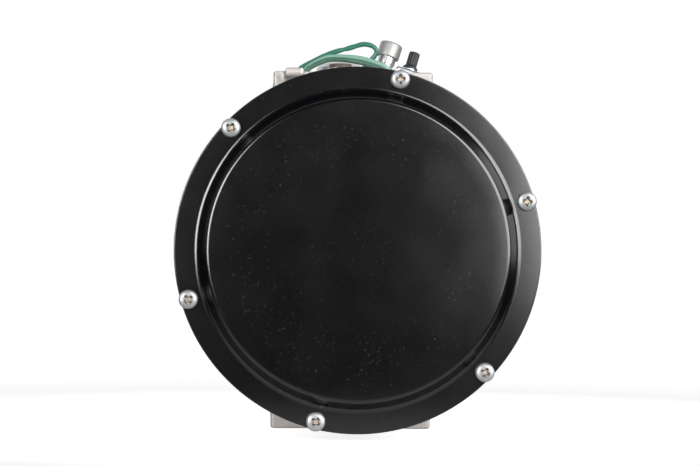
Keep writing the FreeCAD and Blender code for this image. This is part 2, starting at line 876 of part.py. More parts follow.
def build_piston(index):
    """One double-headed piston with its front and rear shoe."""
    azimuth, x, y, z = piston_place(index)
    heads = []
    for side in ("-1", "1"):
        heads.append(turned("head", [
            ("0", f"piston_neck_inner * {side}"), ("piston_neck_radius", f"piston_neck_rim * {side}"),
            ("piston_cone_radius", f"piston_cone_foot * {side}"),
            ("piston_back_radius", f"piston_back * {side}"),
            ("piston_radius", f"piston_back * {side}"),
            ("piston_radius", f"(piston_half_length - piston_chamfer) * {side}"),
            ("piston_radius - piston_chamfer", f"piston_half_length * {side}"),
            ("0", f"piston_half_length * {side}"),
        ]))
    bridge = common(
        bar("piston_radius", "-bridge_half", "bridge_half"),
        brick(
            ("-bridge_half_width", "bridge_half_width"),
            ("-bridge_half", "bridge_half"),
            ("bridge_inner - piston_circle", "bridge_half_width"),
        ),
    )
    piston = cut(fuse(bridge, *heads), ball("pocket_radius"))
    swing(piston, azimuth)
    move_to(piston, x, y, z)
    node(f"piston_{index + 1}", piston)
    flat = "(ring_half + shoe_gap)"
    for name, low, high in (
        ("front", "-shoe_radius - shoe_overlap", f"-{flat}"),
        ("rear", flat, "shoe_radius + shoe_overlap"),
    ):
        shoe = tilt(common(ball("shoe_radius"), bar("shoe_land", low, high)))
        move_to(shoe, x, y, z)
        node(f"{name}_shoe_{index + 1}", shoe)


# ---------------------------------------------------------------- clutch

def build_bearing():
    """The pulley's ball bearing."""
    low, high = "-neck_end - bearing_width", "-neck_end"
    middle = "-neck_end - bearing_width / 2"

    def track():
        thing = doc.addObject("Part::Torus", "track")
        thing.Placement = Placement(Vector(), Rotation(Vector(1, 0, 0), -90))
        bind(thing, Radius1="ball_circle", Radius2="ball_radius + slip")
        move_to(thing, "0", middle, "0")
        return thing

    node("bearing_inner_race", cut(ring("inner_race", "nose_radius", "race_inner_top", low, high), track()))
    node("bearing_outer_race", cut(ring("outer_race", "race_outer_low", "bearing_outer", low, high), track()))
    balls = around("ball_count", "ball_circle", "0", lambda x, z: ball("ball_radius", x, middle, z))
    node("bearing_balls", group(balls))
    pockets = []
    for index in range(int(value("ball_count"))):
        pocket = post(
            "ball_radius + slip",
            "ball_circle - cage_pocket_reach", "ball_circle + cage_pocket_reach",
            "0", middle,
        )
        pockets.append(swing(group([pocket]), 360 * index / value("ball_count")))
    cage = ring(
        "cage_ring", "ball_circle - cage_half_sheet", "ball_circle + cage_half_sheet",
        f"{middle} - cage_half_width", f"{middle} + cage_half_width")
    node("bearing_cage", cut(cage, group(pockets)))


def at_cover_screws(radius, low, high):
    """A round bar at each of the cover's screws."""
    return around("screw_count", "screw_circle", "screw_azimuth", lambda x, z: bar(radius, low, high, x, z))


def build_pulley():
    """Grooved pulley with its bearing seat, friction face and coil cavity."""
    body = turned("pulley_body", [
        ("bearing_outer - bearing_lip", "-friction_face"), ("face_radius", "-friction_face"),
        ("recess_radius", "-friction_face - recess_slope"), ("recess_radius", "-pulley_front"),
        ("pulley_radius - rim_setback", "-pulley_front"), ("pulley_radius - rim_setback", "-rim_band_end"),
        ("crest_radius", "-rim_ramp_end"), ("crest_radius", "-rear_ramp_start"),
        ("pulley_radius", "-rear_band_start"), ("pulley_radius", "-pulley_rear"),
        ("coil_bore", "-pulley_rear"),
        ("coil_bore", "-web_rear"), ("drum_radius", "-web_rear"), ("drum_radius", "-drum_rear"),
        ("bearing_outer", "-drum_rear"), ("bearing_outer", "-bearing_ring_rear"),
        ("bearing_outer + bearing_ring_depth", "-bearing_ring_rear"),
        ("bearing_outer + bearing_ring_depth", "-neck_end"), ("bearing_outer", "-neck_end"),
        ("bearing_outer", "-neck_end - bearing_width"),
        ("bearing_outer - bearing_lip", "-neck_end - bearing_width"),
    ])
    vee = outline_sketch(body, "vee", [
        ("crest_radius + groove_proud", "-groove_first - groove_mouth"),
        ("crest_radius - groove_depth", "-groove_first - groove_floor"),
        ("crest_radius - groove_depth", "-groove_first + groove_floor"),
        ("crest_radius + groove_proud", "-groove_first + groove_mouth"),
    ])
    groove = body.newObject("PartDesign::Groove", "groove")
    groove.Profile = vee
    groove.ReferenceAxis = (vee, ["V_Axis"])
    groove.Angle = 360
    body.Tip = groove
    doc.recompute()
    pattern = body.newObject("PartDesign::LinearPattern", "grooves")
    pattern.Originals = [groove]
    pattern.Direction = (vee, ["V_Axis"])
    bind(pattern, Length="groove_pitch * (groove_count - 1)", Occurrences="groove_count")
    body.Tip = pattern
    threads = at_cover_screws("screw_radius", "-pulley_front", "-pulley_front + screw_thread_depth")
    slots = around("pulley_slot_count", "pulley_slot_circle", "180 / pulley_slot_count",
                   lambda x, z: bar("pulley_slot_radius", "-friction_face", "-web_rear", x, z))
    node("pulley", cut(body, group(threads + slots)))


def build_cover():
    """Pressed dust cover with a raised, slightly crowned middle, and its six screws."""
    back, front = "-pulley_front", "-pulley_front - cover_sheet"
    raised_back = "-pulley_front - plateau_rise"
    raised_front = "-pulley_front - cover_sheet - plateau_rise"
    cover = turned("cover", [
        ("0", f"{raised_back} - plateau_crown"),
        ("plateau_radius / 2", f"{raised_back} - plateau_crown * 0.75"),
        ("plateau_radius - cover_lean_in", raised_back), ("plateau_foot - cover_lean_in", back),
        ("pulley_radius", back),
        ("pulley_radius", front), ("plateau_foot", front), ("plateau_radius", raised_front),
        ("plateau_radius / 2", f"{raised_front} - plateau_crown * 0.75"),
        ("0", f"{raised_front} - plateau_crown"),
    ])
    round_rims(cover, "cover_bend", [("plateau_foot", front), ("plateau_radius", raised_front)])
    node("dust_cover", cut(cover, group(at_cover_screws("screw_hole_radius", front, back))))

    head_top = f"{front} - screw_head_height"

    def screw(x, z):
        head = bar("screw_head_radius", head_top, front, x, z)
        shank = bar("screw_radius", front, f"{front} + screw_length", x, z)
        arm = ("recess_half_length", "recess_half_web")
        recess = [
            brick(
                (f"{x} - {across}", f"{x} + {across}"),
                (head_top, f"{head_top} + recess_depth"),
                (f"{z} - {up}", f"{z} + {up}"),
            )
            for across, up in (arm, reversed(arm))
        ]
        rounded = doc.addObject("Part::Fillet", "pan_head")
        rounded.Base = head
        doc.recompute()
        rim = next(
            number for number, edge in enumerate(head.Shape.Edges, start=1)
            if isinstance(edge.Curve, Part.Circle) and abs(edge.Curve.Center.y - value(head_top)) < 0.01
        )
        rounding = value("screw_head_rounding")
        rounded.Edges = [(rim, rounding, rounding)]
        return cut(fuse(rounded, shank), *recess)

    node("dust_cover_screws", group(around("screw_count", "screw_circle", "screw_azimuth", screw)))


def build_clutch():
    """Field coil, hub, armature and the rings that hold them."""
    coil = turned("coil_shell", [
        ("neck_radius", "-front_head_face"), ("neck_radius", "-coil_seat"), ("coil_inner", "-coil_seat"),
        ("coil_inner", "-coil_front"), ("coil_inner + coil_wall", "-coil_front"),
        ("coil_inner + coil_wall", "-coil_floor"), ("coil_outer - coil_wall", "-coil_floor"),
        ("coil_outer - coil_wall", "-coil_front"), ("coil_outer", "-coil_front"),
        ("coil_outer", "-front_head_face"),
    ])
    node("field_coil_housing", coil)
    node("field_coil_winding", ring(
        "winding", "coil_inner + coil_wall", "coil_outer - coil_wall",
        "-coil_front + winding_setback", "-coil_floor"))
    node("snap_rings", group([
        ring("coil_snap_ring", "neck_radius - coil_ring_depth", "coil_ring_outer",
             "-coil_ring_front", "-coil_seat"),
        ring("inner_race_snap_ring", "nose_radius - race_ring_depth", "race_ring_outer",
             "-race_ring_front", "-neck_end - bearing_width"),
        ring("seal_snap_ring", "seal_ring_inner", "seal_bore + seal_ring_depth",
             "-seal_ring_front", "-seal_ring_back"),
    ]))
    node("outer_race_snap_ring", ring(
        "pulley_snap_ring", "bearing_ring_inner", "bearing_outer + bearing_ring_depth",
        "-neck_end", "-bearing_ring_rear"))

    back = "-friction_face - air_gap"
    front = "-friction_face - air_gap - armature_sheet"
    spring_back = f"({front} - spring_standoff)"
    spring_front = f"({front} - spring_standoff - spring_sheet)"
    leaves = int(value("rivet_count"))
    leaf_step = 360 / leaves
    slots = []
    for index in range(leaves):
        slot = cut(bar("armature_slot_outer", front, back), bar("armature_slot_inner", front, back))
        wedge = brick(
            ("-armature_slot_half", "armature_slot_half"),
            (front, back),
            ("armature_slot_low", "armature_slot_high"),
        )
        slots.append(swing(common(slot, wedge), (index + 0.5) * leaf_step))
    armature = cut(ring("armature", "armature_inner", "armature_outer", front, back), group(slots))
    node("armature_plate", armature)

    def rivet(x, z):
        return fuse(
            bar("rivet_head_radius", spring_back, front, x, z),
            bar("rivet_shank_radius", spring_front, spring_back, x, z),
            bar("rivet_head_radius", f"{spring_front} - rivet_head_sheet", spring_front, x, z),
        )

    node("armature_rivets", group(around("rivet_count", "rivet_circle", "0", rivet)))
    springs = []
    for index in range(leaves):
        leaf = cut(
            brick(
                ("-leaf_half_width", "leaf_half_width"),
                (spring_front, spring_back),
                ("leaf_low", "leaf_high"),
            ),
            bar("leaf_rivet_hole", spring_front, spring_back, "0", "rivet_circle"),
            bar("leaf_bore", spring_front, spring_back),
        )
        springs.append(swing(leaf, index * leaf_step))
    node("leaf_springs", group(springs))

    plate_front = f"({spring_front} - hub_sheet)"
    hub = turned("hub", [
        ("shaft_taper_radius", plate_front), ("hub_plate_radius", plate_front),
        ("hub_plate_radius", spring_front), ("hub_sleeve_radius", spring_front),
        ("hub_sleeve_radius", "-web_rear"), ("shaft_taper_radius", "-web_rear"),
    ])
    node("clutch_hub", hub)
    nut_front = f"{plate_front} - nut_height"
    nut = hexagon("nut_radius", nut_front, plate_front)
    node("hub_nut", cut(nut, bar("shaft_thread_radius", nut_front, plate_front)))


# ---------------------------------------------------------------- ports, valves and wiring

def spline_tube(name, points, radius):
    """A round tube along a smooth curve through the given points."""
    curve = Part.BSplineCurve()
    curve.interpolate([Vector(*point) for point in points])
    path = doc.addObject("Part::Feature", name + "_path")
    path.Shape = curve.toShape()
    start, heading = curve.value(curve.FirstParameter), curve.tangent(curve.FirstParameter)[0]
    section = doc.addObject("Part::Circle", name + "_section")
    bind(section, Radius=radius)
    section.Placement = Placement(start, Rotation(Vector(0, 0, 1), heading))
    tube = doc.addObject("Part::Sweep", name)
    tube.Sections = [section]
    tube.Spine = (path, ["Edge1"])
    tube.Solid = True
    tube.Frenet = False
    return tube


def build_ports():
    """Port block with its plugs, the service valve, the purge valve and their bracket."""
    block = brick(("-port_left", "port_right"), ("-port_front", "port_back"), ("pad_top", "port_top"))
    block = round_free_edges(block, "port_rounding")
    boss_root = "port_top - port_boss_root"
    front_boss = post("front_port_boss", boss_root, "front_port_top", "port_x", "front_port_y")
    rear_boss = turned("rear_boss", [
        ("0", boss_root), ("rear_port_boss", boss_root),
        ("rear_port_boss", "rear_port_top - rear_port_wall"),
        ("rear_port_boss - rear_port_edge_in", "rear_port_top - rear_port_edge"),
        ("rear_port_boss - rear_port_dome_in", "rear_port_top - rear_port_dome"),
        ("rear_port_boss - rear_port_flat_in", "rear_port_top"), ("0", "rear_port_top"),
    ])
    rear_boss = group([rear_boss])
    rear_boss.Placement = Placement(Vector(), Rotation(Vector(1, 0, 0), 90))
    move_to(rear_boss, "port_x", "rear_port_y", "0")
    front_port = post("port_radius", "port_top - port_depth", "front_port_top", "port_x", "front_port_y")
    rear_port = post("port_radius", "port_top - port_depth", "rear_port_top", "port_x", "rear_port_y")
    recess_floor = "rear_port_top - plug_recess_floor"
    recess = post("plug_recess_radius", recess_floor, "rear_port_top", "port_x", "rear_port_y")
    valve_seat = lean(
        group([post("valve_stem_radius", "-valve_depth", "valve_collar_low")]), "valve_x", "valve_lean")
    purge_seat = lean(
        group([post("purge_stem_radius", "-purge_depth", "valve_collar_low")]), "purge_x", "purge_lean")
    screw_places = [
        (x, y)
        for x in ("block_screw_left", "block_screw_right")
        for y in ("block_screw_front", "block_screw_back")
    ]
    screw_holes = [post("block_screw_radius", "pad_top", "port_top", x, y) for x, y in screw_places]
    clamp_floor = "port_top - clamp_thread_depth"
    clamp_thread = post("clamp_thread_radius", clamp_floor, "port_top", "clamp_x", "clamp_y")
    openings = [front_port, rear_port, recess, valve_seat, purge_seat, clamp_thread] + screw_holes
    node("port_block", cut(fuse(block, front_boss, rear_boss), *openings))

    def cap_screw(x, y):
        head_top = "port_top + block_screw_top"
        shank = post("block_screw_radius", "pad_top", "port_top", x, y)
        head = post("block_screw_head", "port_top", head_top, x, y)
        socket = post("block_screw_socket", "port_top + block_screw_floor", head_top, x, y)
        return cut(fuse(shank, head), socket)

    node("port_block_screws", group([cap_screw(x, y) for x, y in screw_places]))

    def plug(y, seat):
        return fuse(
            post("plug_shank_radius", f"({seat}) - plug_depth", seat, "port_x", y),
            post("plug_radius", seat, f"({seat}) + plug_cap", "port_x", y),
        )

    node("port_plugs", group([plug("front_port_y", "front_port_top"), plug("rear_port_y", recess_floor)]))

    stem_top = "valve_cap_high - valve_cap_sheet"
    stem = fuse(
        post("valve_stem_radius", "-valve_depth", stem_top),
        post("valve_collar_radius", "valve_collar_low", "valve_collar_high"),
    )
    node("service_valve", lean(stem, "valve_x", "valve_lean"))
    cap = cut(
        post("valve_cap_radius", "valve_cap_low", "valve_cap_high"),
        post("valve_stem_radius", "valve_cap_low", stem_top),
    )
    node("service_valve_cap", lean(cap, "valve_x", "valve_lean"))

    stem_top = "purge_cap_high - purge_cap_sheet"
    stem = fuse(
        post("purge_stem_radius", "-purge_depth", stem_top),
        post("purge_collar_radius", "purge_collar_low", "purge_cap_low"),
    )
    node("purge_valve", lean(stem, "purge_x", "purge_lean"))
    strap = round_free_edges(
        brick(
            ("-strap_left", "strap_right"),
            ("-strap_half_depth", "strap_half_depth"),
            ("strap_low", "purge_collar_low"),
        ),
        "strap_rounding",
    )
    strap = cut(strap, post("purge_stem_radius", "strap_low - overrun", "purge_collar_low + overrun"))
    node("valve_bracket", lean(strap, "purge_x", "purge_lean"))
    flutes = []
    for index in range(int(value("flute_count"))):
        angle = f"({index} * 360 / flute_count * 1deg)"
        flutes.append(post(
            "flute_radius", "flute_low", "purge_cap_high",
            f"purge_cap_radius * cos({angle})", f"purge_cap_radius * sin({angle})"))
    shell = fuse(
        post("purge_cap_radius", "purge_neck", "purge_cap_high"),
        post("purge_flare_radius", "purge_cap_low", "purge_flare_high"),
    )
    shell = cut(shell, group(flutes), post("purge_stem_radius", "purge_cap_low", stem_top))
    node("purge_valve_cap", lean(shell, "purge_x", "purge_lean"))


def build_wiring():
    """The coil's three lead wires: a single one that loops back, and a twin pair below it.

    Each wire is given by the (x, y, z) points that it passes through, from the coil outwards.
    """
    coil_to_gap = [
        (-81.5, 61.4), (-81.2, 63), (-78.6, 64.9), (-70, 65), (-58, 64.4), (-50, 63.2), (-40, 62.8),
    ]
    single = [(-5.4, y, z) for y, z in coil_to_gap] + [
        (-6, -31, 63.2), (-10, -25, 65), (-18, -23.2, 67.6), (-24.6, -23.4, 72.5), (-25.8, -23.8, 78),
        (-22.6, -24, 82), (-17.4, -24, 84.9), (-13.8, -24, 86.8), (-6.6, -24, 89.6), (0.6, -24, 91.6),
        (7.6, -24, 92.7), (11.2, -23.9, 90.1), (8.6, -23, 85.6), (3.8, -21.2, 79.2), (0.6, -18.8, 72),
        (-1.4, -15.8, 66), (-1.8, -12.5, 62.8),
    ]
    front_twin = [(-10.4, y, z) for y, z in coil_to_gap] + [
        (-11.2, -33.4, 63), (-14.8, -28.9, 65.8), (-19.6, -28.6, 70), (-22.4, -28.9, 75.4),
        (-19.9, -29, 80.8),
        (-16, -29, 83.3), (-10.3, -29, 85.4), (-6.7, -29, 85.6), (-3.1, -29, 85.4), (4.1, -29, 84.2),
        (11.3, -29, 81.9), (15.4, -28.6, 79), (16.6, -26.4, 72.5), (15.2, -22.4, 65.6), (13, -18, 62.4),
    ]
    rear_twin = [(-7.9, y, z) for y, z in coil_to_gap] + [
        (-8.6, -32, 63.4), (-14, -26.4, 67), (-19.8, -25.9, 71.2), (-22.6, -26.2, 77), (-20.2, -26.7, 81.6),
        (-16, -26.9, 84.4), (-10.3, -26.9, 86.7), (-6.7, -26.9, 87), (-3.1, -27, 86.9), (4.1, -27.4, 86.2),
        (11.3, -27.8, 84.2), (16.6, -27.8, 81.4), (19.8, -25.8, 75.6), (19.2, -22, 68), (17, -18, 62.8),
    ]
    node("coil_lead_wires", group([
        spline_tube("single_wire", single, "wire_radius"),
        spline_tube("front_twin_wire", front_twin, "wire_radius"),
        spline_tube("rear_twin_wire", rear_twin, "wire_radius"),
    ]))


build_castings()
build_heads()
build_shaft()
for piston_index in range(CYLINDERS):
    build_piston(piston_index)
build_bearing()
build_pulley()
build_cover()
build_clutch()
build_ports()
build_wiring()
doc.recompute()

for thing in doc.Objects:
    problems = [state for state in thing.State if state in ("Invalid", "Error")]
    if problems:
        raise RuntimeError(f"{thing.Name} ({thing.Label}) is {problems}")
os.makedirs("parts", exist_ok=True)
for thing in nodes:
    if thing.Shape.isNull() or not thing.Shape.isValid() or not thing.Shape.Solids:
        raise RuntimeError(f"{thing.Label} has no valid solid")
    thing.Shape.exportStep(f"parts/{thing.Label}.step")
    print(thing.Label, len(thing.Shape.Solids), round(thing.Shape.Volume))
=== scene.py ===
"""The looks of a belt-driven refrigerant compressor with a magnetic clutch, built round its CAD frame."""
import json
import math
import re

import bmesh
import bpy
from mathutils import Matrix, Vector


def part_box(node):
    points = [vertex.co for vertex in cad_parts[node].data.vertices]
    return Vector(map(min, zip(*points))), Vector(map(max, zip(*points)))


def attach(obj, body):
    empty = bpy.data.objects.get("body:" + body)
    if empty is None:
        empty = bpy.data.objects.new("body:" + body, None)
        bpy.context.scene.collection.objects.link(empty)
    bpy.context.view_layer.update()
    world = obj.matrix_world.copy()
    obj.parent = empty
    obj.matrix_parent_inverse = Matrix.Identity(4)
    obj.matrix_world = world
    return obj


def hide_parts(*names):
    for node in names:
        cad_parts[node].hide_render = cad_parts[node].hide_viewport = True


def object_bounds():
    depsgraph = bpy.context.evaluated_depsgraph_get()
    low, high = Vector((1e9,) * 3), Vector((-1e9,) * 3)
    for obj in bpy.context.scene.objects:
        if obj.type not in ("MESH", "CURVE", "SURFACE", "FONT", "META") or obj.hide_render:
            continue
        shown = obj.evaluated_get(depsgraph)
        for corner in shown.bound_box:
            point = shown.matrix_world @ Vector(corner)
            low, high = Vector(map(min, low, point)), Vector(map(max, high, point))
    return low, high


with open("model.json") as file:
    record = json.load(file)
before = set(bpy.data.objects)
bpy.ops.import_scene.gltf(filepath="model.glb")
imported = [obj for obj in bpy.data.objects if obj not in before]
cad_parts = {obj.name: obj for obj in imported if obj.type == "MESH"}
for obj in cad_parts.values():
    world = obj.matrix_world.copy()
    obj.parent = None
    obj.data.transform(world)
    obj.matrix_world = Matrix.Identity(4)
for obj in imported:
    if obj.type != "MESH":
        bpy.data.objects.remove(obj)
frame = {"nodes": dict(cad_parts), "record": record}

MM = 0.001
CAD_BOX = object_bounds()


# ---------------------------------------------------------------- places and sizes

def low(node):
    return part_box(node)[0]


def high(node):
    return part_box(node)[1]


# the cover, read from the frame
COVER_RADIUS = high("dust_cover").x
COVER_BACK = high("dust_cover").y
COVER_TOP = low("dust_cover").y
SHEET = 1.0 * MM
FLANGE_FRONT = COVER_BACK - SHEET
FLANGE_DROOP = 0.13 * MM
CROWN = 0.8 * MM
PLATEAU_RADIUS = 0.822 * COVER_RADIUS
FOOT_RADIUS = 0.871 * COVER_RADIUS
STEP_INSET = 0.6 * MM
SHOULDER_FILLET = 2.0 * MM
FOOT_FILLET = 2.6 * MM
RIM_FILLET = 0.45 * MM

# the cover's screws: each cross's turn in degrees in the order of their bearings seen from the front,
# and the recess's two slots as rows of (depth, half length, half width) in millimetres; their first row
# stands RECESS_OVERSHOOT above the head, so that the cut is clean
SCREW_HEAD_RADIUS = 4.0 * MM
SCREW_HEAD_HEIGHT = FLANGE_FRONT - low("dust_cover_screws").y
SCREW_SHANK_RADIUS = 2.0 * MM
SCREW_LENGTH = 5.8 * MM
SCREW_TURNS = (42, 50, 32, -3, 8, 26)
RECESS_OVERSHOOT = 0.2 * MM
RECESS_ROWS = ((0.0, 2.25, 0.74), (0.5, 2.05, 0.6), (1.7, 1.0, 0.45))
# painted shade: inside this radius and within this depth of its top, each head's flat middle is painted a
# darker grey for the dull reflection of a shallow dish
FACE_RADIUS = 2.35 * MM
SHADED_FACE_DEPTH = 0.12 * MM
# below this depth the recess's floor is painted a pale gold and pink: a painted glint
STAIN_DEPTH = 1.0 * MM

# the pulley, in millimetres; places along the shaft line count back from its front face
PULLEY_FRONT = low("pulley").y / MM
PULLEY_RADIUS = high("pulley").x / MM
RIM_SETBACK = 0.2
CREST_RADIUS = 75
CREST_SKIN = 0.03
GROOVE_COUNT = 8
GROOVE_PITCH = 3.56
GROOVE_DEPTH = 2.8
GROOVE_HALF_MOUTH = 1.32
GROOVE_HALF_FLOOR = 0.35
FIRST_GROOVE = 7.3
FRONT_BAND = 5.3
REAR_BAND = 34.5
BAND_BEVEL = 0.35
DISH_RADIUS = 68.5
DISH_SLOPE = 4
FRICTION_FACE = 13
FRICTION_FACE_RADIUS = 64
WEB_REAR = 21
COIL_BORE = 62
RIM_REAR = 37
DRUM_RADIUS = 33
DRUM_REAR = 38.5
SEAT_RADIUS = 27.5
SEAT_FRONT = 14.6
SEAT_REAR = 34.6
LIP_RADIUS = 25.5
RING_GROOVE_RADIUS = 28.7
RING_GROOVE_REAR = 35.9

# the castings: the ears start this far above and below the shaft line
EAR_FOOT = 60.5 * MM
FINE_VOXEL = 0.8 * MM
SMOOTHINGS = 4

# the two valves stand on the port block, lean in degrees, and lean towards the same heading
PORT_TOP = 80 * MM
VALVE_Y = 15 * MM
VALVE_X = 14.9 * MM
VALVE_LEAN = 19.5
PURGE_X = 27.2 * MM
PURGE_LEAN = 18.5
LEAN_HEADING = 25
FLUTES = 12
FLUTE_DEPTH = 0.3

# the stage: how far from the object's middle the floor turns from pale to dark and gains its glow, the
# room's light in front of the cover and behind it, and the camera, whose angles are in degrees and whose
# shifts are shares of the picture's width
FLOOR_Z = CAD_BOX[0][2]
FLOOR_GAP = 0.2 * MM
FLOOR_SIZE = 14
FLOOR_NEAR = 0.14
FLOOR_FAR = 0.28
FLOOR_PALE = (0.70, 0.70, 0.70)
FLOOR_DARK = (0.02, 0.02, 0.02)
GLOW_NEAR = 0.80
GLOW_START = 0.10
GLOW_END = 0.40
WHITE = (1.0, 1.0, 1.0)
SKY = (0.95, 0.98, 1.0)
ROOM_FRONT = 0.03
ROOM_BACK = 0.9
ROOM_TURN_START = 0.05
ROOM_TURN_END = 0.5
LIT_POINT = Vector((0, -0.1, 0))
CAMERA_DISTANCE = 1.1
CAMERA_SENSOR = 36.0
CAMERA_YAW = 1.87
CAMERA_PITCH = 0.3
CAMERA_ROLL = 0.5
COVER_SHARE = 0.5260
SHIFT_LEFT = 0.01166
SHIFT_UP = 0.0247


# ---------------------------------------------------------------- mesh tools

def rounded_outline(corners, steps=6):
    """Corners (radius, y, fillet) in order, with each filleted corner turned into an arc.

    A fillet that would take up a whole side is held to just under half of it.
    """
    count = len(corners)
    held = 0.49
    points = []
    for index, (x, y, fillet) in enumerate(corners):
        here = Vector((x, y))
        if fillet <= 0:
            points.append(here)
            continue
        before = Vector(corners[index - 1][:2]) - here
        after = Vector(corners[(index + 1) % count][:2]) - here
        half = before.angle(after) / 2
        reach = min(fillet / math.tan(half), before.length * held, after.length * held)
        radius = reach * math.tan(half)
        start = here + before.normalized() * reach
        end = here + after.normalized() * reach
        bisector = (before.normalized() + after.normalized()).normalized()
        middle = here + bisector * (radius / math.sin(half))
        first = start - middle
        last = end - middle
        sweep = first.angle_signed(last)
        for step in range(steps + 1):
            turn = Matrix.Rotation(-sweep * step / steps, 2)
            points.append(middle + turn @ first)
    return points


def new_object(name, mesh, material, body, smooth_angle=35):
    """Puts a mesh in the scene, shades it and lets it ride on a body."""
    mesh.materials.clear()
    mesh.materials.append(material)
    for polygon in mesh.polygons:
        polygon.use_smooth = True
    mesh.set_sharp_from_angle(angle=math.radians(smooth_angle))
    thing = bpy.data.objects.new(name, mesh)
    bpy.context.scene.collection.objects.link(thing)
    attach(thing, body)
    return thing


def finished(name, bm):
    """The mesh of a bmesh that is complete."""
    mesh = bpy.data.meshes.new(name)
    bm.to_mesh(mesh)
    bm.free()
    return mesh


def bridge(bm, rings):
    """Joins rings of equally many points into a tube."""
    for first, second in zip(rings, rings[1:]):
        for k in range(len(first)):
            after = (k + 1) % len(first)
            bm.faces.new([first[k], first[after], second[after], second[k]])


def spin(bm, outline, segments):
    """Turns an outline of (radius, along) points about the Y axis into a bmesh."""
    rings = []
    for point in outline:
        if abs(point[0]) < 1e-7:
            rings.append([bm.verts.new((0, point[1], 0))])
            continue
        rings.append([
            bm.verts.new((
                point[0] * math.sin(2 * math.pi * k / segments), point[1],
                point[0] * math.cos(2 * math.pi * k / segments),
            ))
            for k in range(segments)
        ])
    pairs = list(zip(rings, rings[1:]))
    if len(rings[0]) > 1 and len(rings[-1]) > 1:
        pairs.append((rings[-1], rings[0]))
    for first, second in pairs:
        if len(first) == 1 and len(second) == 1:
            continue
        for k in range(segments):
            after = (k + 1) % segments
            loop = []
            for ring, a, b in ((first, k, after), (second, after, k)):
                loop += [ring[0]] if len(ring) == 1 else [ring[a], ring[b]]
            bm.faces.new(loop)


def lathe_mesh(name, corners, segments=192, steps=6, place=None):
    """A turned mesh about the Y axis, or about a placed axis."""
    bm = bmesh.new()
    spin(bm, rounded_outline(corners, steps), segments)
    bmesh.ops.recalc_face_normals(bm, faces=bm.faces)
    if place is not None:
        bm.transform(place)
    return finished(name, bm)


def in_mm(corners):
    """An outline written in millimetres, in metres."""
    return [(radius * MM, along * MM, fillet * MM) for radius, along, fillet in corners]


def upright(x, y, z, lean=0.0):
    """A place for a turned piece whose own Y axis is to stand up, leaning to the right and back."""
    heading = math.radians(LEAN_HEADING)
    hinge = Vector((-math.sin(heading), math.cos(heading), 0))
    stand = Matrix.Rotation(math.radians(90), 4, "X")
    return Matrix.Translation((x, y, z)) @ Matrix.Rotation(math.radians(lean), 4, hinge) @ stand


def shell_of(first):
    """Every vertex that edges join to the first."""
    shell = {first}
    waiting = [first]
    while waiting:
        for edge in waiting.pop().link_edges:
            for vert in edge.verts:
                if vert not in shell:
                    shell.add(vert)
                    waiting.append(vert)
    return shell


def islands(mesh):
    """The separate shells of a mesh, each as a mesh of its own."""
    bm = bmesh.new()
    bm.from_mesh(mesh)
    bmesh.ops.remove_doubles(bm, verts=bm.verts, dist=0.001 * MM)
    bm.verts.ensure_lookup_table()
    unseen = set(bm.verts)
    shells = []
    while unseen:
        shells.append(shell_of(min(unseen, key=lambda vert: vert.index)))
        unseen -= shells[-1]
    pieces = []
    for number, shell in enumerate(shells):
        part = bmesh.new()
        twin = {vert: part.verts.new(vert.co) for vert in sorted(shell, key=lambda vert: vert.index)}
        for face in bm.faces:
            if face.verts[0] in shell:
                part.faces.new([twin[vert] for vert in face.verts])
        pieces.append(finished(f"{mesh.name}_{number}", part))
    bm.free()
    return pieces


def middle_of(mesh):
    """The centre of a mesh's box."""
    corners = [vert.co for vert in mesh.vertices]
    return Vector([(min(c[k] for c in corners) + max(c[k] for c in corners)) / 2 for k in range(3)])


def baked(thing):
    """The mesh of an object with its modifiers applied."""
    graph = bpy.context.evaluated_depsgraph_get()
    return bpy.data.meshes.new_from_object(thing.evaluated_get(graph))


def scratch_object(name, mesh):
    """An object that only helps to build another."""
    thing = bpy.data.objects.new(name, mesh)
    bpy.context.scene.collection.objects.link(thing)
    return thing


def carve(mesh, tool_mesh):
    """A mesh with another taken away from it."""
    base = scratch_object("carve_base", mesh)
    tool = scratch_object("carve_tool", tool_mesh)
    cutter = base.modifiers.new("carve", "BOOLEAN")
    cutter.object = tool
    cutter.operation = "DIFFERENCE"
    cutter.solver = "EXACT"
    result = baked(base)
    bpy.data.objects.remove(base)
    bpy.data.objects.remove(tool)
    return result


# ---------------------------------------------------------------- materials

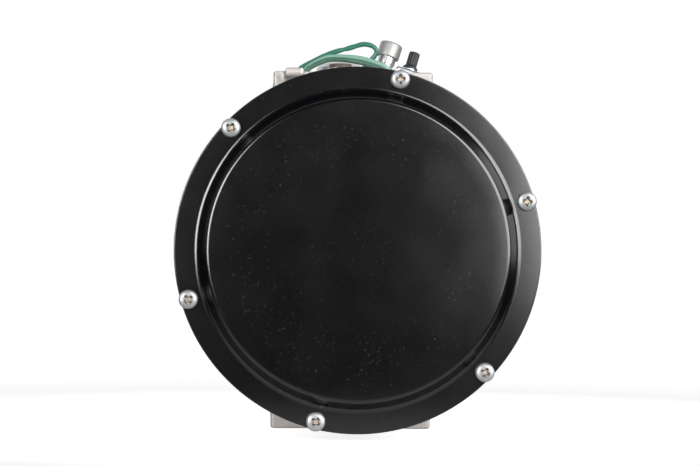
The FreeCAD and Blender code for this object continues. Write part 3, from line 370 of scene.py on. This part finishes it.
class Shader:
    """A material under construction, with short ways to add and join its nodes."""

    def __init__(self, name):
        self.material = bpy.data.materials.new(name)
        self.material.use_nodes = True
        self.tree = self.material.node_tree
        self.surface = self.tree.nodes["Principled BSDF"]
        self.place = self.add("ShaderNodeTexCoord").outputs["Object"]

    def add(self, kind, **settings):
        made = self.tree.nodes.new(kind)
        for name, setting in settings.items():
            setattr(made, name, setting)
        return made

    def feed(self, made, **inputs):
        """Sets inputs by name, with underscores for spaces, or by number, as n0, n1 and so on."""
        for name, source in inputs.items():
            numbered = re.fullmatch(r"n\d+", name)
            socket = made.inputs[int(name[1:]) if numbered else name.replace("_", " ")]
            if isinstance(source, bpy.types.NodeSocket):
                self.tree.links.new(source, socket)
            else:
                socket.default_value = source
        return made

    def noise(self, scale, detail=3.0, stretch=(1, 1, 1), roughness=0.5):
        spread = self.feed(self.add("ShaderNodeMapping"), Vector=self.place, Scale=stretch)
        made = self.add("ShaderNodeTexNoise")
        self.feed(made, Vector=spread.outputs[0], Scale=scale, Detail=detail, Roughness=roughness)
        return made.outputs["Fac"]

    def ramp(self, source, start, end, from_value=0.0, to_value=1.0):
        made = self.add("ShaderNodeMapRange")
        self.feed(made, n0=source, n1=start, n2=end, n3=from_value, n4=to_value)
        return made.outputs[0]

    def math(self, operation, first, second):
        made = self.add("ShaderNodeMath", operation=operation)
        self.feed(made, n0=first, n1=second)
        return made.outputs[0]

    def mix(self, amount, first, second):
        made = self.add("ShaderNodeMix", data_type="RGBA")
        self.feed(made, n0=amount, n6=first, n7=second)
        return made.outputs[2]

    def edges(self, radius):
        """A mask that is bright where the surface bends sharply, and the softened normal itself."""
        soft = self.feed(self.add("ShaderNodeBevel", samples=4), Radius=radius).outputs[0]
        hard = self.add("ShaderNodeNewGeometry").outputs["Normal"]
        product = self.add("ShaderNodeVectorMath", operation="DOT_PRODUCT")
        self.feed(product, n0=soft, n1=hard)
        return self.ramp(product.outputs["Value"], 0.985, 0.80), soft


def rgba(colour):
    return (*colour, 1.0)


def finish_material(name, colour, metallic, roughness, *, second, patch=70, patch_share=0.5,
                    grain=1600, grain_depth=0.02, grain_mm=0.05, stretch=(1, 1, 1), rough_spread=0.08,
                    wear=None, wear_amount=0.5, edge=0.5, specks=0.0, coat=0.0, coat_roughness=0.1,
                    coarse=0.0, coarse_scale=500, specular=0.5):
    """A procedural finish: patchy colour, grain, worn edges, fine specks and a rounded-edge normal.

    The depth of the grain and the width of an edge are in millimetres, scales in repeats per metre.
    """
    wear_scale, speck_scale, speck_colour = 900, 1500, (0.45, 0.42, 0.40)
    shader = Shader(name)
    base = shader.surface
    patches = shader.noise(patch, 4)
    fine = shader.noise(grain, 2, stretch)
    share = shader.ramp(patches, 0.35, 0.65, 0.0, patch_share)
    tone = shader.mix(share, rgba(colour), rgba(second))
    mask, soft_normal = shader.edges(edge * MM)
    if wear:
        broken = shader.ramp(shader.noise(wear_scale, 4), 0.42, 0.62)
        worn = shader.math("MULTIPLY", mask, broken)
        tone = shader.mix(shader.math("MULTIPLY", worn, wear_amount), tone, rgba(wear))
    if specks:
        spots = shader.ramp(shader.noise(speck_scale, 1, roughness=0.3), 0.735, 0.755)
        tone = shader.mix(shader.math("MULTIPLY", spots, specks), tone, rgba(speck_colour))
    smears = shader.noise(patch * 3, 5)
    rough = shader.ramp(smears, 0.3, 0.7, roughness - rough_spread, roughness + rough_spread)
    height = fine
    if coarse:
        lumps = shader.math("MULTIPLY", shader.noise(coarse_scale, 3), coarse)
        height = shader.math("ADD", fine, lumps)
    bump = shader.add("ShaderNodeBump")
    shader.feed(bump, Strength=min(1.0, grain_depth * 10), Distance=grain_mm * MM, Height=height,
                Normal=soft_normal)
    shader.feed(base, Base_Color=tone, Metallic=metallic, Roughness=rough, Normal=bump.outputs[0],
                Coat_Weight=coat, Coat_Roughness=coat_roughness, Specular_IOR_Level=specular)
    return shader.material


def make_materials():
    """Every finish on the object, by the name of its slot or place."""
    return {
        "cast_aluminium": finish_material(
            "cast_aluminium", (0.54, 0.507, 0.482), 0.6, 0.5, second=(0.47, 0.443, 0.423), patch=90,
            grain=2600, grain_depth=0.05, grain_mm=0.09, coarse=1.5, coarse_scale=700,
            wear=(0.78, 0.77, 0.75), wear_amount=0.35, edge=0.5, rough_spread=0.07),
        "machined_aluminium": finish_material(
            "machined_aluminium", (0.68, 0.68, 0.67), 0.9, 0.34, second=(0.60, 0.60, 0.60), grain=900,
            stretch=(1, 1, 14), grain_depth=0.02, grain_mm=0.03, wear=(0.85, 0.85, 0.85),
            wear_amount=0.4, edge=0.3),
        "cap_aluminium": finish_material(
            "cap_aluminium", (0.44, 0.44, 0.43), 0.7, 0.5, second=(0.375, 0.375, 0.365), grain=3000,
            grain_depth=0.05, grain_mm=0.05, wear=(0.9, 0.9, 0.9), wear_amount=0.5, edge=0.3),
        "piston_alloy": finish_material(
            "piston_alloy", (0.62, 0.62, 0.62), 0.95, 0.3, second=(0.5, 0.5, 0.5), grain=1500,
            stretch=(1, 12, 1), grain_depth=0.02, grain_mm=0.03),
        "black_paint": finish_material(
            "black_paint", (0.0008, 0.0010, 0.0014), 0.0, 0.18, second=(0.0016, 0.0016, 0.0018),
            patch=22, grain=700, grain_depth=0.004, grain_mm=0.02, wear=(0.05, 0.045, 0.04),
            wear_amount=0.25, edge=0.4, specks=0.09, rough_spread=0.018, specular=1.0),
        "pulley_paint": finish_material(
            "pulley_paint", (0.012, 0.012, 0.013), 0.0, 0.36, second=(0.018, 0.017, 0.017), patch=60,
            grain=1100, grain_depth=0.02, grain_mm=0.03, wear=(0.35, 0.34, 0.33), wear_amount=0.35,
            edge=0.35, specks=0.2),
        "groove_steel": finish_material(
            "groove_steel", (0.42, 0.42, 0.42), 0.95, 0.33, second=(0.34, 0.34, 0.34), grain=900,
            stretch=(1, 20, 1), grain_depth=0.03, grain_mm=0.03, wear=(0.7, 0.7, 0.7), wear_amount=0.5,
            edge=0.2),
        "zinc_steel": finish_material(
            "zinc_steel", (0.66, 0.68, 0.70), 0.9, 0.33, second=(0.58, 0.60, 0.62), patch=90,
            grain=2500, grain_depth=0.01, grain_mm=0.02, wear=(0.9, 0.9, 0.9), wear_amount=0.3,
            edge=0.2, rough_spread=0.05),
        "screw_zinc": finish_material(
            "screw_zinc", (0.43, 0.445, 0.45), 0.7, 0.45, second=(0.36, 0.37, 0.38), patch=420,
            grain=2500, grain_depth=0.03, grain_mm=0.04, wear=(0.9, 0.9, 0.9), wear_amount=0.5,
            edge=0.25, rough_spread=0.1),
        "recess_stain": finish_material(
            "recess_stain", (0.22, 0.185, 0.14), 0.7, 0.38, second=(0.36, 0.33, 0.30), patch=700,
            patch_share=1.0, grain=3000, grain_depth=0.05, grain_mm=0.05),
        # painted shade: a darker grey for the flat middle of a screw's head
        "screw_face_painted_shade": finish_material(
            "screw_face_painted_shade", (0.27, 0.275, 0.28), 0.75, 0.5, second=(0.36, 0.36, 0.37), patch=500,
            patch_share=1.0, grain=3000, grain_depth=0.05, grain_mm=0.05),
        # painted glint: pale gold and pink for the floor of a screw's recess
        "recess_floor_glint": finish_material(
            "recess_floor_glint", (0.70, 0.61, 0.45), 0.7, 0.3, second=(0.78, 0.68, 0.63), patch=500,
            patch_share=1.0, grain=3000, grain_depth=0.05, grain_mm=0.05),
        "bearing_steel": finish_material(
            "bearing_steel", (0.58, 0.58, 0.60), 1.0, 0.2, second=(0.5, 0.5, 0.52), grain=1200,
            stretch=(1, 10, 1), grain_depth=0.01, grain_mm=0.02),
        "shaft_steel": finish_material(
            "shaft_steel", (0.46, 0.46, 0.46), 0.95, 0.33, second=(0.38, 0.37, 0.36), grain=1200,
            stretch=(1, 10, 1), grain_depth=0.02, grain_mm=0.03, wear=(0.7, 0.7, 0.7), wear_amount=0.4,
            edge=0.3),
        "swash_iron": finish_material(
            "swash_iron", (0.30, 0.29, 0.28), 0.9, 0.38, second=(0.24, 0.235, 0.23), grain=1600,
            grain_depth=0.03, grain_mm=0.04, wear=(0.5, 0.5, 0.5), wear_amount=0.4, edge=0.3),
        "shoe_steel": finish_material(
            "shoe_steel", (0.72, 0.72, 0.74), 1.0, 0.12, second=(0.66, 0.66, 0.68), grain=1600,
            grain_depth=0.005, grain_mm=0.01, rough_spread=0.04),
        "gasket_rubber": finish_material(
            "gasket_rubber", (0.02, 0.02, 0.021), 0.0, 0.6, second=(0.03, 0.03, 0.03), grain=1800,
            grain_depth=0.04, grain_mm=0.05),
        "coil_resin": finish_material(
            "coil_resin", (0.025, 0.025, 0.03), 0.0, 0.3, second=(0.035, 0.03, 0.03), grain=600,
            grain_depth=0.01, grain_mm=0.04, coat=0.3),
        "green_wire": finish_material(
            "green_wire", (0.055, 0.125, 0.090), 0.0, 0.3, second=(0.07, 0.155, 0.115), patch=120,
            grain=900, grain_depth=0.012, grain_mm=0.05, coat=0.35, coat_roughness=0.2),
        "dark_green_wire": finish_material(
            "dark_green_wire", (0.020, 0.145, 0.095), 0.0, 0.33, second=(0.035, 0.20, 0.135), patch=120,
            grain=900, grain_depth=0.012, grain_mm=0.05, coat=0.25, coat_roughness=0.25),
        # painted highlight: the twin's rear strand, whose upper edge shows, is painted pale mint for the
        # highlight along the twin's top
        "pale_green_wire_highlight": finish_material(
            "pale_green_wire_highlight", (0.19, 0.36, 0.28), 0.0, 0.26, second=(0.26, 0.42, 0.35), patch=120,
            grain=900, grain_depth=0.012, grain_mm=0.05, coat=0.5, coat_roughness=0.15),
        "tan_plug": finish_material(
            "tan_plug", (0.115, 0.085, 0.066), 0.0, 0.5, second=(0.09, 0.066, 0.053), patch=110,
            grain=1400, grain_depth=0.03, grain_mm=0.05, wear=(0.5, 0.4, 0.32), wear_amount=0.4),
        "black_plastic": finish_material(
            "black_plastic", (0.022, 0.022, 0.024), 0.0, 0.42, second=(0.03, 0.03, 0.03), grain=1500,
            grain_depth=0.03, grain_mm=0.05, wear=(0.09, 0.09, 0.09), wear_amount=0.4, edge=0.2),
        "black_rubber": finish_material(
            "black_rubber", (0.015, 0.015, 0.016), 0.0, 0.55, second=(0.022, 0.022, 0.022), grain=1500,
            grain_depth=0.04, grain_mm=0.05),
    }


MATERIALS = make_materials()


# ---------------------------------------------------------------- pieces

def cover():
    """Pressed steel dust cover: flat rim, a sloping step, and a slightly crowned middle."""
    crown_points, crown_step = 7, 0.147
    shoulder = COVER_TOP + CROWN
    shares = [crown_step * index for index in range(crown_points)]
    middle = [(PLATEAU_RADIUS * share, COVER_TOP + CROWN * share ** 2, 0) for share in shares]
    front = [
        (PLATEAU_RADIUS, shoulder, SHOULDER_FILLET),
        (FOOT_RADIUS, FLANGE_FRONT, FOOT_FILLET),
        (COVER_RADIUS, FLANGE_FRONT + FLANGE_DROOP, RIM_FILLET),
    ]
    back = [
        (COVER_RADIUS, COVER_BACK, 0.2 * MM),
        (FOOT_RADIUS - STEP_INSET, COVER_BACK, 0.8 * MM),
        (PLATEAU_RADIUS - STEP_INSET, shoulder + SHEET, 1.0 * MM),
        (0, COVER_TOP + SHEET, 0),
    ]
    mesh = lathe_mesh("cover", middle + front + back, segments=360, steps=12)
    thing = new_object("cover_pressing", mesh, MATERIALS["black_paint"], "pulley_group", 50)
    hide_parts("dust_cover")


def slot_outline(half_length, half_width, steps=6):
    """The outline of a slot with round ends, as (x, z) points."""
    points = []
    for side in (1, -1):
        for step in range(steps + 1):
            angle = math.pi * (step / steps - 0.5)
            points.append((
                side * (half_length - half_width + half_width * math.cos(angle)),
                side * half_width * math.sin(angle),
            ))
    return points


def recess_mesh(turn):
    """One slot of a screw's cross recess, narrowing as it goes down, to be cut out of the head."""
    top = -SCREW_HEAD_HEIGHT - RECESS_OVERSHOOT
    bm = bmesh.new()
    rings = []
    for depth, half_length, half_width in RECESS_ROWS:
        outline = slot_outline(half_length * MM, half_width * MM)
        rings.append([bm.verts.new((x, top + depth * MM, z)) for x, z in outline])
    bridge(bm, rings)
    bm.faces.new(rings[0])
    bm.faces.new(rings[-1])
    bmesh.ops.recalc_face_normals(bm, faces=bm.faces)
    bm.transform(Matrix.Rotation(math.radians(turn), 4, "Y"))
    return finished("recess", bm)


def screw_mesh(turn):
    """A pan-head screw with a cross recess, about the Y axis, its head's seat at y = 0."""
    head, radius = SCREW_HEAD_HEIGHT, SCREW_HEAD_RADIUS
    outline = [
        (0, -head, 0), (radius * 0.55, -head * 0.985, 0), (radius * 0.95, -head * 0.78, 1.0 * MM),
        (radius, -head * 0.2, 0.3 * MM), (radius * 0.985, 0, 0.1 * MM), (SCREW_SHANK_RADIUS, 0, 0),
        (SCREW_SHANK_RADIUS, SCREW_LENGTH - 0.2 * MM, 0.3 * MM), (0, SCREW_LENGTH, 0),
    ]
    body = lathe_mesh("screw_body", outline, segments=64)
    for quarter in (0, 90):
        body = carve(body, recess_mesh(turn + quarter))
    return body


def screw_finish(off, depth):
    """Which of a screw's finishes a face has, by its distance off the axis and under the head's top: the
    flat middle gets painted shade, the recess a stain, and its floor a painted glint.
    """
    if off > FACE_RADIUS or depth > SCREW_HEAD_HEIGHT * 0.8:
        return "screw_zinc"
    if depth < SHADED_FACE_DEPTH:
        return "screw_face_painted_shade"
    return "recess_stain" if depth < STAIN_DEPTH else "recess_floor_glint"


def cover_screws():
    """The cover's six screws, each turned its own way, with stained recesses, painted shade on each head's
    flat middle and a painted glint at each recess's floor.
    """
    finishes = ("screw_zinc", "recess_stain", "screw_face_painted_shade", "recess_floor_glint")
    centres = [middle_of(piece) for piece in islands(frame["nodes"]["dust_cover_screws"].data)]
    centres.sort(key=lambda centre: math.atan2(centre.x, centre.z))
    for number, (centre, turn) in enumerate(zip(centres, SCREW_TURNS), start=1):
        mesh = screw_mesh(turn)
        mesh.transform(Matrix.Translation((centre.x, FLANGE_FRONT, centre.z)))
        thing = new_object(f"cover_screw_{number}", mesh, MATERIALS[finishes[0]], "pulley_group", 38)
        for finish in finishes[1:]:
            thing.data.materials.append(MATERIALS[finish])
        for polygon in thing.data.polygons:
            off = math.hypot(polygon.center.x - centre.x, polygon.center.z - centre.z)
            depth = polygon.center.y - (FLANGE_FRONT - SCREW_HEAD_HEIGHT)
            polygon.material_index = finishes.index(screw_finish(off, depth))
        if number == 1:
            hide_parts("dust_cover_screws")


def groove_outline():
    """The belt grooves' part of the pulley's outline, from front to back."""
    floor_radius = CREST_RADIUS - GROOVE_DEPTH
    points = []
    for index in range(GROOVE_COUNT):
        middle = FIRST_GROOVE + GROOVE_PITCH * index
        points += [
            (CREST_RADIUS, middle - GROOVE_HALF_MOUTH, 0.15),
            (floor_radius, middle - GROOVE_HALF_FLOOR, 0.2),
            (floor_radius, middle + GROOVE_HALF_FLOOR, 0.2),
            (CREST_RADIUS, middle + GROOVE_HALF_MOUTH, 0.15),
        ]
    return points


def pulley():
    """The grooved pulley rim, web and bearing seat."""
    band_radius = PULLEY_RADIUS - RIM_SETBACK
    outline = [
        (DISH_RADIUS, 0, 0.3), (band_radius, 0, 0.35), (band_radius, FRONT_BAND, 0.3),
        (CREST_RADIUS, FRONT_BAND + BAND_BEVEL, 0), *groove_outline(),
        (CREST_RADIUS, REAR_BAND - 2 * BAND_BEVEL, 0), (PULLEY_RADIUS, REAR_BAND, 0.4),
        (PULLEY_RADIUS, RIM_REAR, 0.5), (COIL_BORE, RIM_REAR, 0.6), (COIL_BORE, WEB_REAR, 1.5),
        (DRUM_RADIUS, WEB_REAR, 1.5), (DRUM_RADIUS, DRUM_REAR, 0.4), (SEAT_RADIUS, DRUM_REAR, 0.3),
        (SEAT_RADIUS, RING_GROOVE_REAR, 0), (RING_GROOVE_RADIUS, RING_GROOVE_REAR, 0),
        (RING_GROOVE_RADIUS, SEAT_REAR, 0), (SEAT_RADIUS, SEAT_REAR, 0), (SEAT_RADIUS, SEAT_FRONT, 0),
        (LIP_RADIUS, SEAT_FRONT, 0), (LIP_RADIUS, FRICTION_FACE, 0.3),
        (FRICTION_FACE_RADIUS, FRICTION_FACE, 0.8), (DISH_RADIUS, FRICTION_FACE - DISH_SLOPE, 0.8),
    ]
    place = Matrix.Translation((0, PULLEY_FRONT * MM, 0))
    mesh = lathe_mesh("pulley_rim", in_mm(outline), segments=288, steps=3, place=place)
    thing = new_object("pulley_turned", mesh, MATERIALS["pulley_paint"], "pulley_group", 30)
    thing.data.materials.append(MATERIALS["groove_steel"])
    for polygon in thing.data.polygons:
        radius = math.hypot(polygon.center.x, polygon.center.z) / MM
        along = polygon.center.y / MM - PULLEY_FRONT
        among_grooves = FIRST_GROOVE - GROOVE_HALF_MOUTH < along < REAR_BAND - 2 * BAND_BEVEL
        in_groove = among_grooves and CREST_RADIUS - GROOVE_DEPTH - 1 < radius < CREST_RADIUS - CREST_SKIN
        on_friction_face = abs(along - FRICTION_FACE) < 0.2 and radius < FRICTION_FACE_RADIUS - 1
        if in_groove or on_friction_face:
            polygon.material_index = 1
    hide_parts("pulley")


def casting(node, name):
    """A CAD casting with its body's edges rounded off as a casting's are, and its ears kept crisp."""
    helper = scratch_object("casting_helper", frame["nodes"][node].data.copy())
    remesh = helper.modifiers.new("remesh", "REMESH")
    remesh.mode = "VOXEL"
    remesh.voxel_size = FINE_VOXEL
    mesh = baked(helper)
    bpy.data.objects.remove(helper)
    bm = bmesh.new()
    bm.from_mesh(mesh)
    soft = [vert for vert in bm.verts if abs(vert.co.z) < EAR_FOOT]
    for _ in range(SMOOTHINGS):
        bmesh.ops.smooth_vert(bm, verts=soft, factor=0.5, use_axis_x=True, use_axis_y=True, use_axis_z=True)
    bm.to_mesh(mesh)
    bm.free()
    thing = new_object(name, mesh, MATERIALS["cast_aluminium"], "casing", 40)
    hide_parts(node)


def castings():
    """The two heads and the two cylinder blocks."""
    casting("front_head", "front_head_casting")
    casting("front_cylinder_block", "front_block_casting")
    casting("rear_cylinder_block", "rear_block_casting")
    casting("rear_head", "rear_head_casting")


def wires():
    """The coil's lead wires, each strand with its own green; the twin's rear strand is painted pale mint as
    a painted highlight along the twin's top.
    """
    strands = islands(frame["nodes"]["coil_lead_wires"].data)
    strands.sort(key=lambda mesh: (round(middle_of(mesh).z, 3), middle_of(mesh).y))
    finishes = ("green_wire", "pale_green_wire_highlight", "dark_green_wire")
    for number, (mesh, finish) in enumerate(zip(strands, finishes), start=1):
        thing = new_object(f"lead_wire_{number}", mesh, MATERIALS[finish], "casing", 60)
        if number == 1:
            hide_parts("coil_lead_wires")


def service_valve():
    """The charging valve's stem and its plain silver cap, leaning over."""
    place = upright(VALVE_X, VALVE_Y, PORT_TOP, VALVE_LEAN)
    stem_radius, collar_radius, neck_radius, stem_top = 4.1, 4.9, 3.75, 16.0
    stem = [
        (0, -8, 0), (stem_radius, -8, 0), (stem_radius, 3.0, 0), (collar_radius, 3.0, 0.3),
        (collar_radius, 4.4, 0.3), (stem_radius, 4.6, 0), (stem_radius, 5.8, 0.2), (neck_radius, 6.1, 0),
        (neck_radius, 6.9, 0), (stem_radius, 7.2, 0.2), (stem_radius, stem_top, 0.3), (0, stem_top, 0),
    ]
    mesh = lathe_mesh("valve_stem", in_mm(stem), segments=72, place=place)
    thing = new_object("service_valve_stem", mesh, MATERIALS["zinc_steel"], "casing")
    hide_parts("service_valve")

    cap_radius, cap_bore, cap_foot, cap_top = 5.25, 4.15, 10.4, 17.4
    roof = stem_top + 0.05
    cap = [
        (0, cap_top, 0), (cap_radius, cap_top - 0.1, 0.9), (cap_radius, cap_foot, 0.4),
        (cap_bore, cap_foot, 0), (cap_bore, roof, 0), (0, roof, 0),
    ]
    mesh = lathe_mesh("valve_cap", in_mm(cap), segments=96, place=place)
    thing = new_object("service_cap", mesh, MATERIALS["cap_aluminium"], "casing")
    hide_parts("service_valve_cap")


def ribbed_cap_mesh(place, segments=120):
    """A small cap with lengthwise flutes and a flared foot, as rings of (height, radius, flute share)."""
    heights = [
        (4.6, 3.3, 0), (4.75, 3.5, 0), (5.5, 3.45, 0), (5.85, 2.95, 0), (6.3, 2.65, 1), (7.0, 2.6, 1),
        (12.2, 2.6, 1), (12.6, 2.5, 1), (12.9, 2.1, 0.3), (13.0, 1.5, 0),
    ]
    bm = bmesh.new()
    rings = []
    for along, radius, flute in heights:
        ring = []
        for k in range(segments):
            angle = 2 * math.pi * k / segments
            wave = 0.5 + 0.5 * math.cos(FLUTES * angle)
            size = (radius - FLUTE_DEPTH * flute * wave ** 2) * MM
            ring.append(bm.verts.new((size * math.sin(angle), along * MM, size * math.cos(angle))))
        rings.append(ring)
    bridge(bm, rings)
    bm.faces.new(rings[0])
    bm.faces.new(rings[-1])
    bmesh.ops.recalc_face_normals(bm, faces=bm.faces)
    bm.transform(place)
    return finished("ribbed_cap", bm)


def purge_valve():
    """The smaller valve's black ribbed cap."""
    place = upright(PURGE_X, VALVE_Y, PORT_TOP, PURGE_LEAN)
    thing = new_object("purge_cap_ribbed", ribbed_cap_mesh(place), MATERIALS["black_plastic"], "casing", 50)
    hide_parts("purge_valve_cap")


def port_plugs():
    """The moulded plugs that close the two ports: each a low cap with a soft edge on a shank."""
    cap_radius, cap_depth, shank_radius, shank_end = 5.2, 2.0, 4.35, 11.0
    outline = in_mm([
        (0, 0.25, 0), (2.2, 0.25, 0.2), (2.8, 0, 0.3), (cap_radius, 0, 0.7), (cap_radius, cap_depth, 0.1),
        (shank_radius, cap_depth, 0), (shank_radius, shank_end - 0.4, 0.5), (0, shank_end, 0),
    ])
    for number, mesh in enumerate(islands(frame["nodes"]["port_plugs"].data), start=1):
        centre = middle_of(mesh)
        top = max(vert.co.z for vert in mesh.vertices)
        place = Matrix.Translation((centre.x, centre.y, top)) @ Matrix.Rotation(math.radians(-90), 4, "X")
        mesh = lathe_mesh("plug", outline, segments=96, place=place)
        thing = new_object(f"port_plug_{number}", mesh, MATERIALS["tan_plug"], "casing")
        if number == 1:
            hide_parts("port_plugs")


def carried_over():
    """Gives every CAD node that stays a finish from its slot."""
    slots = {entry["node"]: entry["material_slot"] for entry in frame["record"]["subparts"]}
    for name, thing in frame["nodes"].items():
        thing.data.materials.clear()
        thing.data.materials.append(MATERIALS[slots[name]])


# ---------------------------------------------------------------- stage

def stage_floor():
    """A floor that the camera sees as white, and that throws light back only near the object."""
    bpy.ops.mesh.primitive_plane_add(size=FLOOR_SIZE, location=(0, 0, FLOOR_Z - FLOOR_GAP))
    floor = bpy.context.object
    floor.name = "floor"
    shader = Shader("floor")
    spread = shader.add("ShaderNodeVectorMath", operation="LENGTH")
    shader.feed(spread, n0=shader.place)
    distance = spread.outputs["Value"]
    shade = shader.mix(shader.ramp(distance, FLOOR_NEAR, FLOOR_FAR), rgba(FLOOR_PALE), rgba(FLOOR_DARK))
    glow = shader.ramp(distance, GLOW_START, GLOW_END, GLOW_NEAR, 1.0)
    seen = shader.add("ShaderNodeLightPath").outputs["Is Camera Ray"]
    shader.feed(shader.surface, Base_Color=shade, Roughness=0.8, Specular_IOR_Level=0.0,
                Emission_Color=rgba(WHITE), Emission_Strength=shader.math("MULTIPLY", seen, glow))
    floor.data.materials.append(shader.material)


def surroundings():
    """White to the camera; as light, a room that is dark in front of the cover and bright behind it."""
    world = bpy.context.scene.world or bpy.data.worlds.new("world")
    bpy.context.scene.world = world
    world.use_nodes = True
    tree = world.node_tree
    tree.nodes.clear()
    seen = tree.nodes.new("ShaderNodeBackground")
    seen.inputs["Color"].default_value = rgba(WHITE)
    light = tree.nodes.new("ShaderNodeBackground")
    light.inputs["Color"].default_value = rgba(SKY)
    way = tree.nodes.new("ShaderNodeSeparateXYZ")
    behind = tree.nodes.new("ShaderNodeMapRange")
    turn_of_light = (ROOM_TURN_START, ROOM_TURN_END, ROOM_FRONT, ROOM_BACK)
    for socket, number in zip(behind.inputs[1:5], turn_of_light):
        socket.default_value = number
    path = tree.nodes.new("ShaderNodeLightPath")
    mixer = tree.nodes.new("ShaderNodeMixShader")
    output = tree.nodes.new("ShaderNodeOutputWorld")
    for source, target in (
        (tree.nodes.new("ShaderNodeTexCoord").outputs["Generated"], way.inputs[0]),
        (way.outputs["Y"], behind.inputs[0]),
        (behind.outputs[0], light.inputs["Strength"]),
        (path.outputs["Is Camera Ray"], mixer.inputs[0]),
        (light.outputs[0], mixer.inputs[1]),
        (seen.outputs[0], mixer.inputs[2]),
        (mixer.outputs[0], output.inputs[0]),
    ):
        tree.links.new(source, target)


def softbox(name, *, off, turn, distance, width, height, power):
    """A lit panel, by its angle off the shaft line, its turn round that line from +X, and its distance."""
    off, turn = math.radians(off), math.radians(turn)
    way = Vector((math.sin(off) * math.cos(turn), -math.cos(off), math.sin(off) * math.sin(turn)))
    data = bpy.data.lights.new(name, "AREA")
    data.shape = "RECTANGLE"
    data.size, data.size_y, data.energy = width, height, power
    lamp = bpy.data.objects.new(name, data)
    bpy.context.scene.collection.objects.link(lamp)
    lamp.location = LIT_POINT + distance * way
    lamp.rotation_euler = (-way).to_track_quat("-Z", "Y").to_euler()


def stage():
    """Pale floor, white surroundings and two softboxes."""
    stage_floor()
    surroundings()
    softbox("right_box", off=43.6, turn=20, distance=1.35, width=1.50, height=1.10, power=31.0)
    softbox("left_box", off=35, turn=170, distance=1.45, width=0.80, height=0.95, power=23.0)


def camera():
    """A long lens, almost square to the cover: the cover fills about half of the frame's width."""
    yaw, pitch, roll = (math.radians(angle) for angle in (CAMERA_YAW, CAMERA_PITCH, CAMERA_ROLL))
    frame_width = 2 * COVER_RADIUS / COVER_SHARE
    forward = Vector((math.sin(yaw) * math.cos(pitch), math.cos(yaw) * math.cos(pitch), math.sin(pitch)))
    right = forward.cross(Vector((0, 0, 1))).normalized()
    up = right.cross(forward)
    aim = Vector((0, FLANGE_FRONT, 0)) - right * (SHIFT_LEFT * frame_width) + up * (SHIFT_UP * frame_width)
    turned_right = right * math.cos(roll) + up * math.sin(roll)
    turned_up = up * math.cos(roll) - right * math.sin(roll)
    data = bpy.data.cameras.new("camera")
    data.sensor_width = CAMERA_SENSOR
    data.lens = CAMERA_SENSOR * CAMERA_DISTANCE / frame_width
    data.clip_start = 0.01
    eye = bpy.data.objects.new("camera", data)
    bpy.context.scene.collection.objects.link(eye)
    turn = Matrix((turned_right, turned_up, -forward)).transposed().to_4x4()
    eye.matrix_world = Matrix.Translation(aim - forward * CAMERA_DISTANCE) @ turn
    bpy.context.scene.camera = eye


bpy.context.scene.view_settings.view_transform = "Standard"
carried_over()
cover()
cover_screws()
pulley()
castings()
wires()
service_valve()
purge_valve()
port_plugs()
stage()
camera()
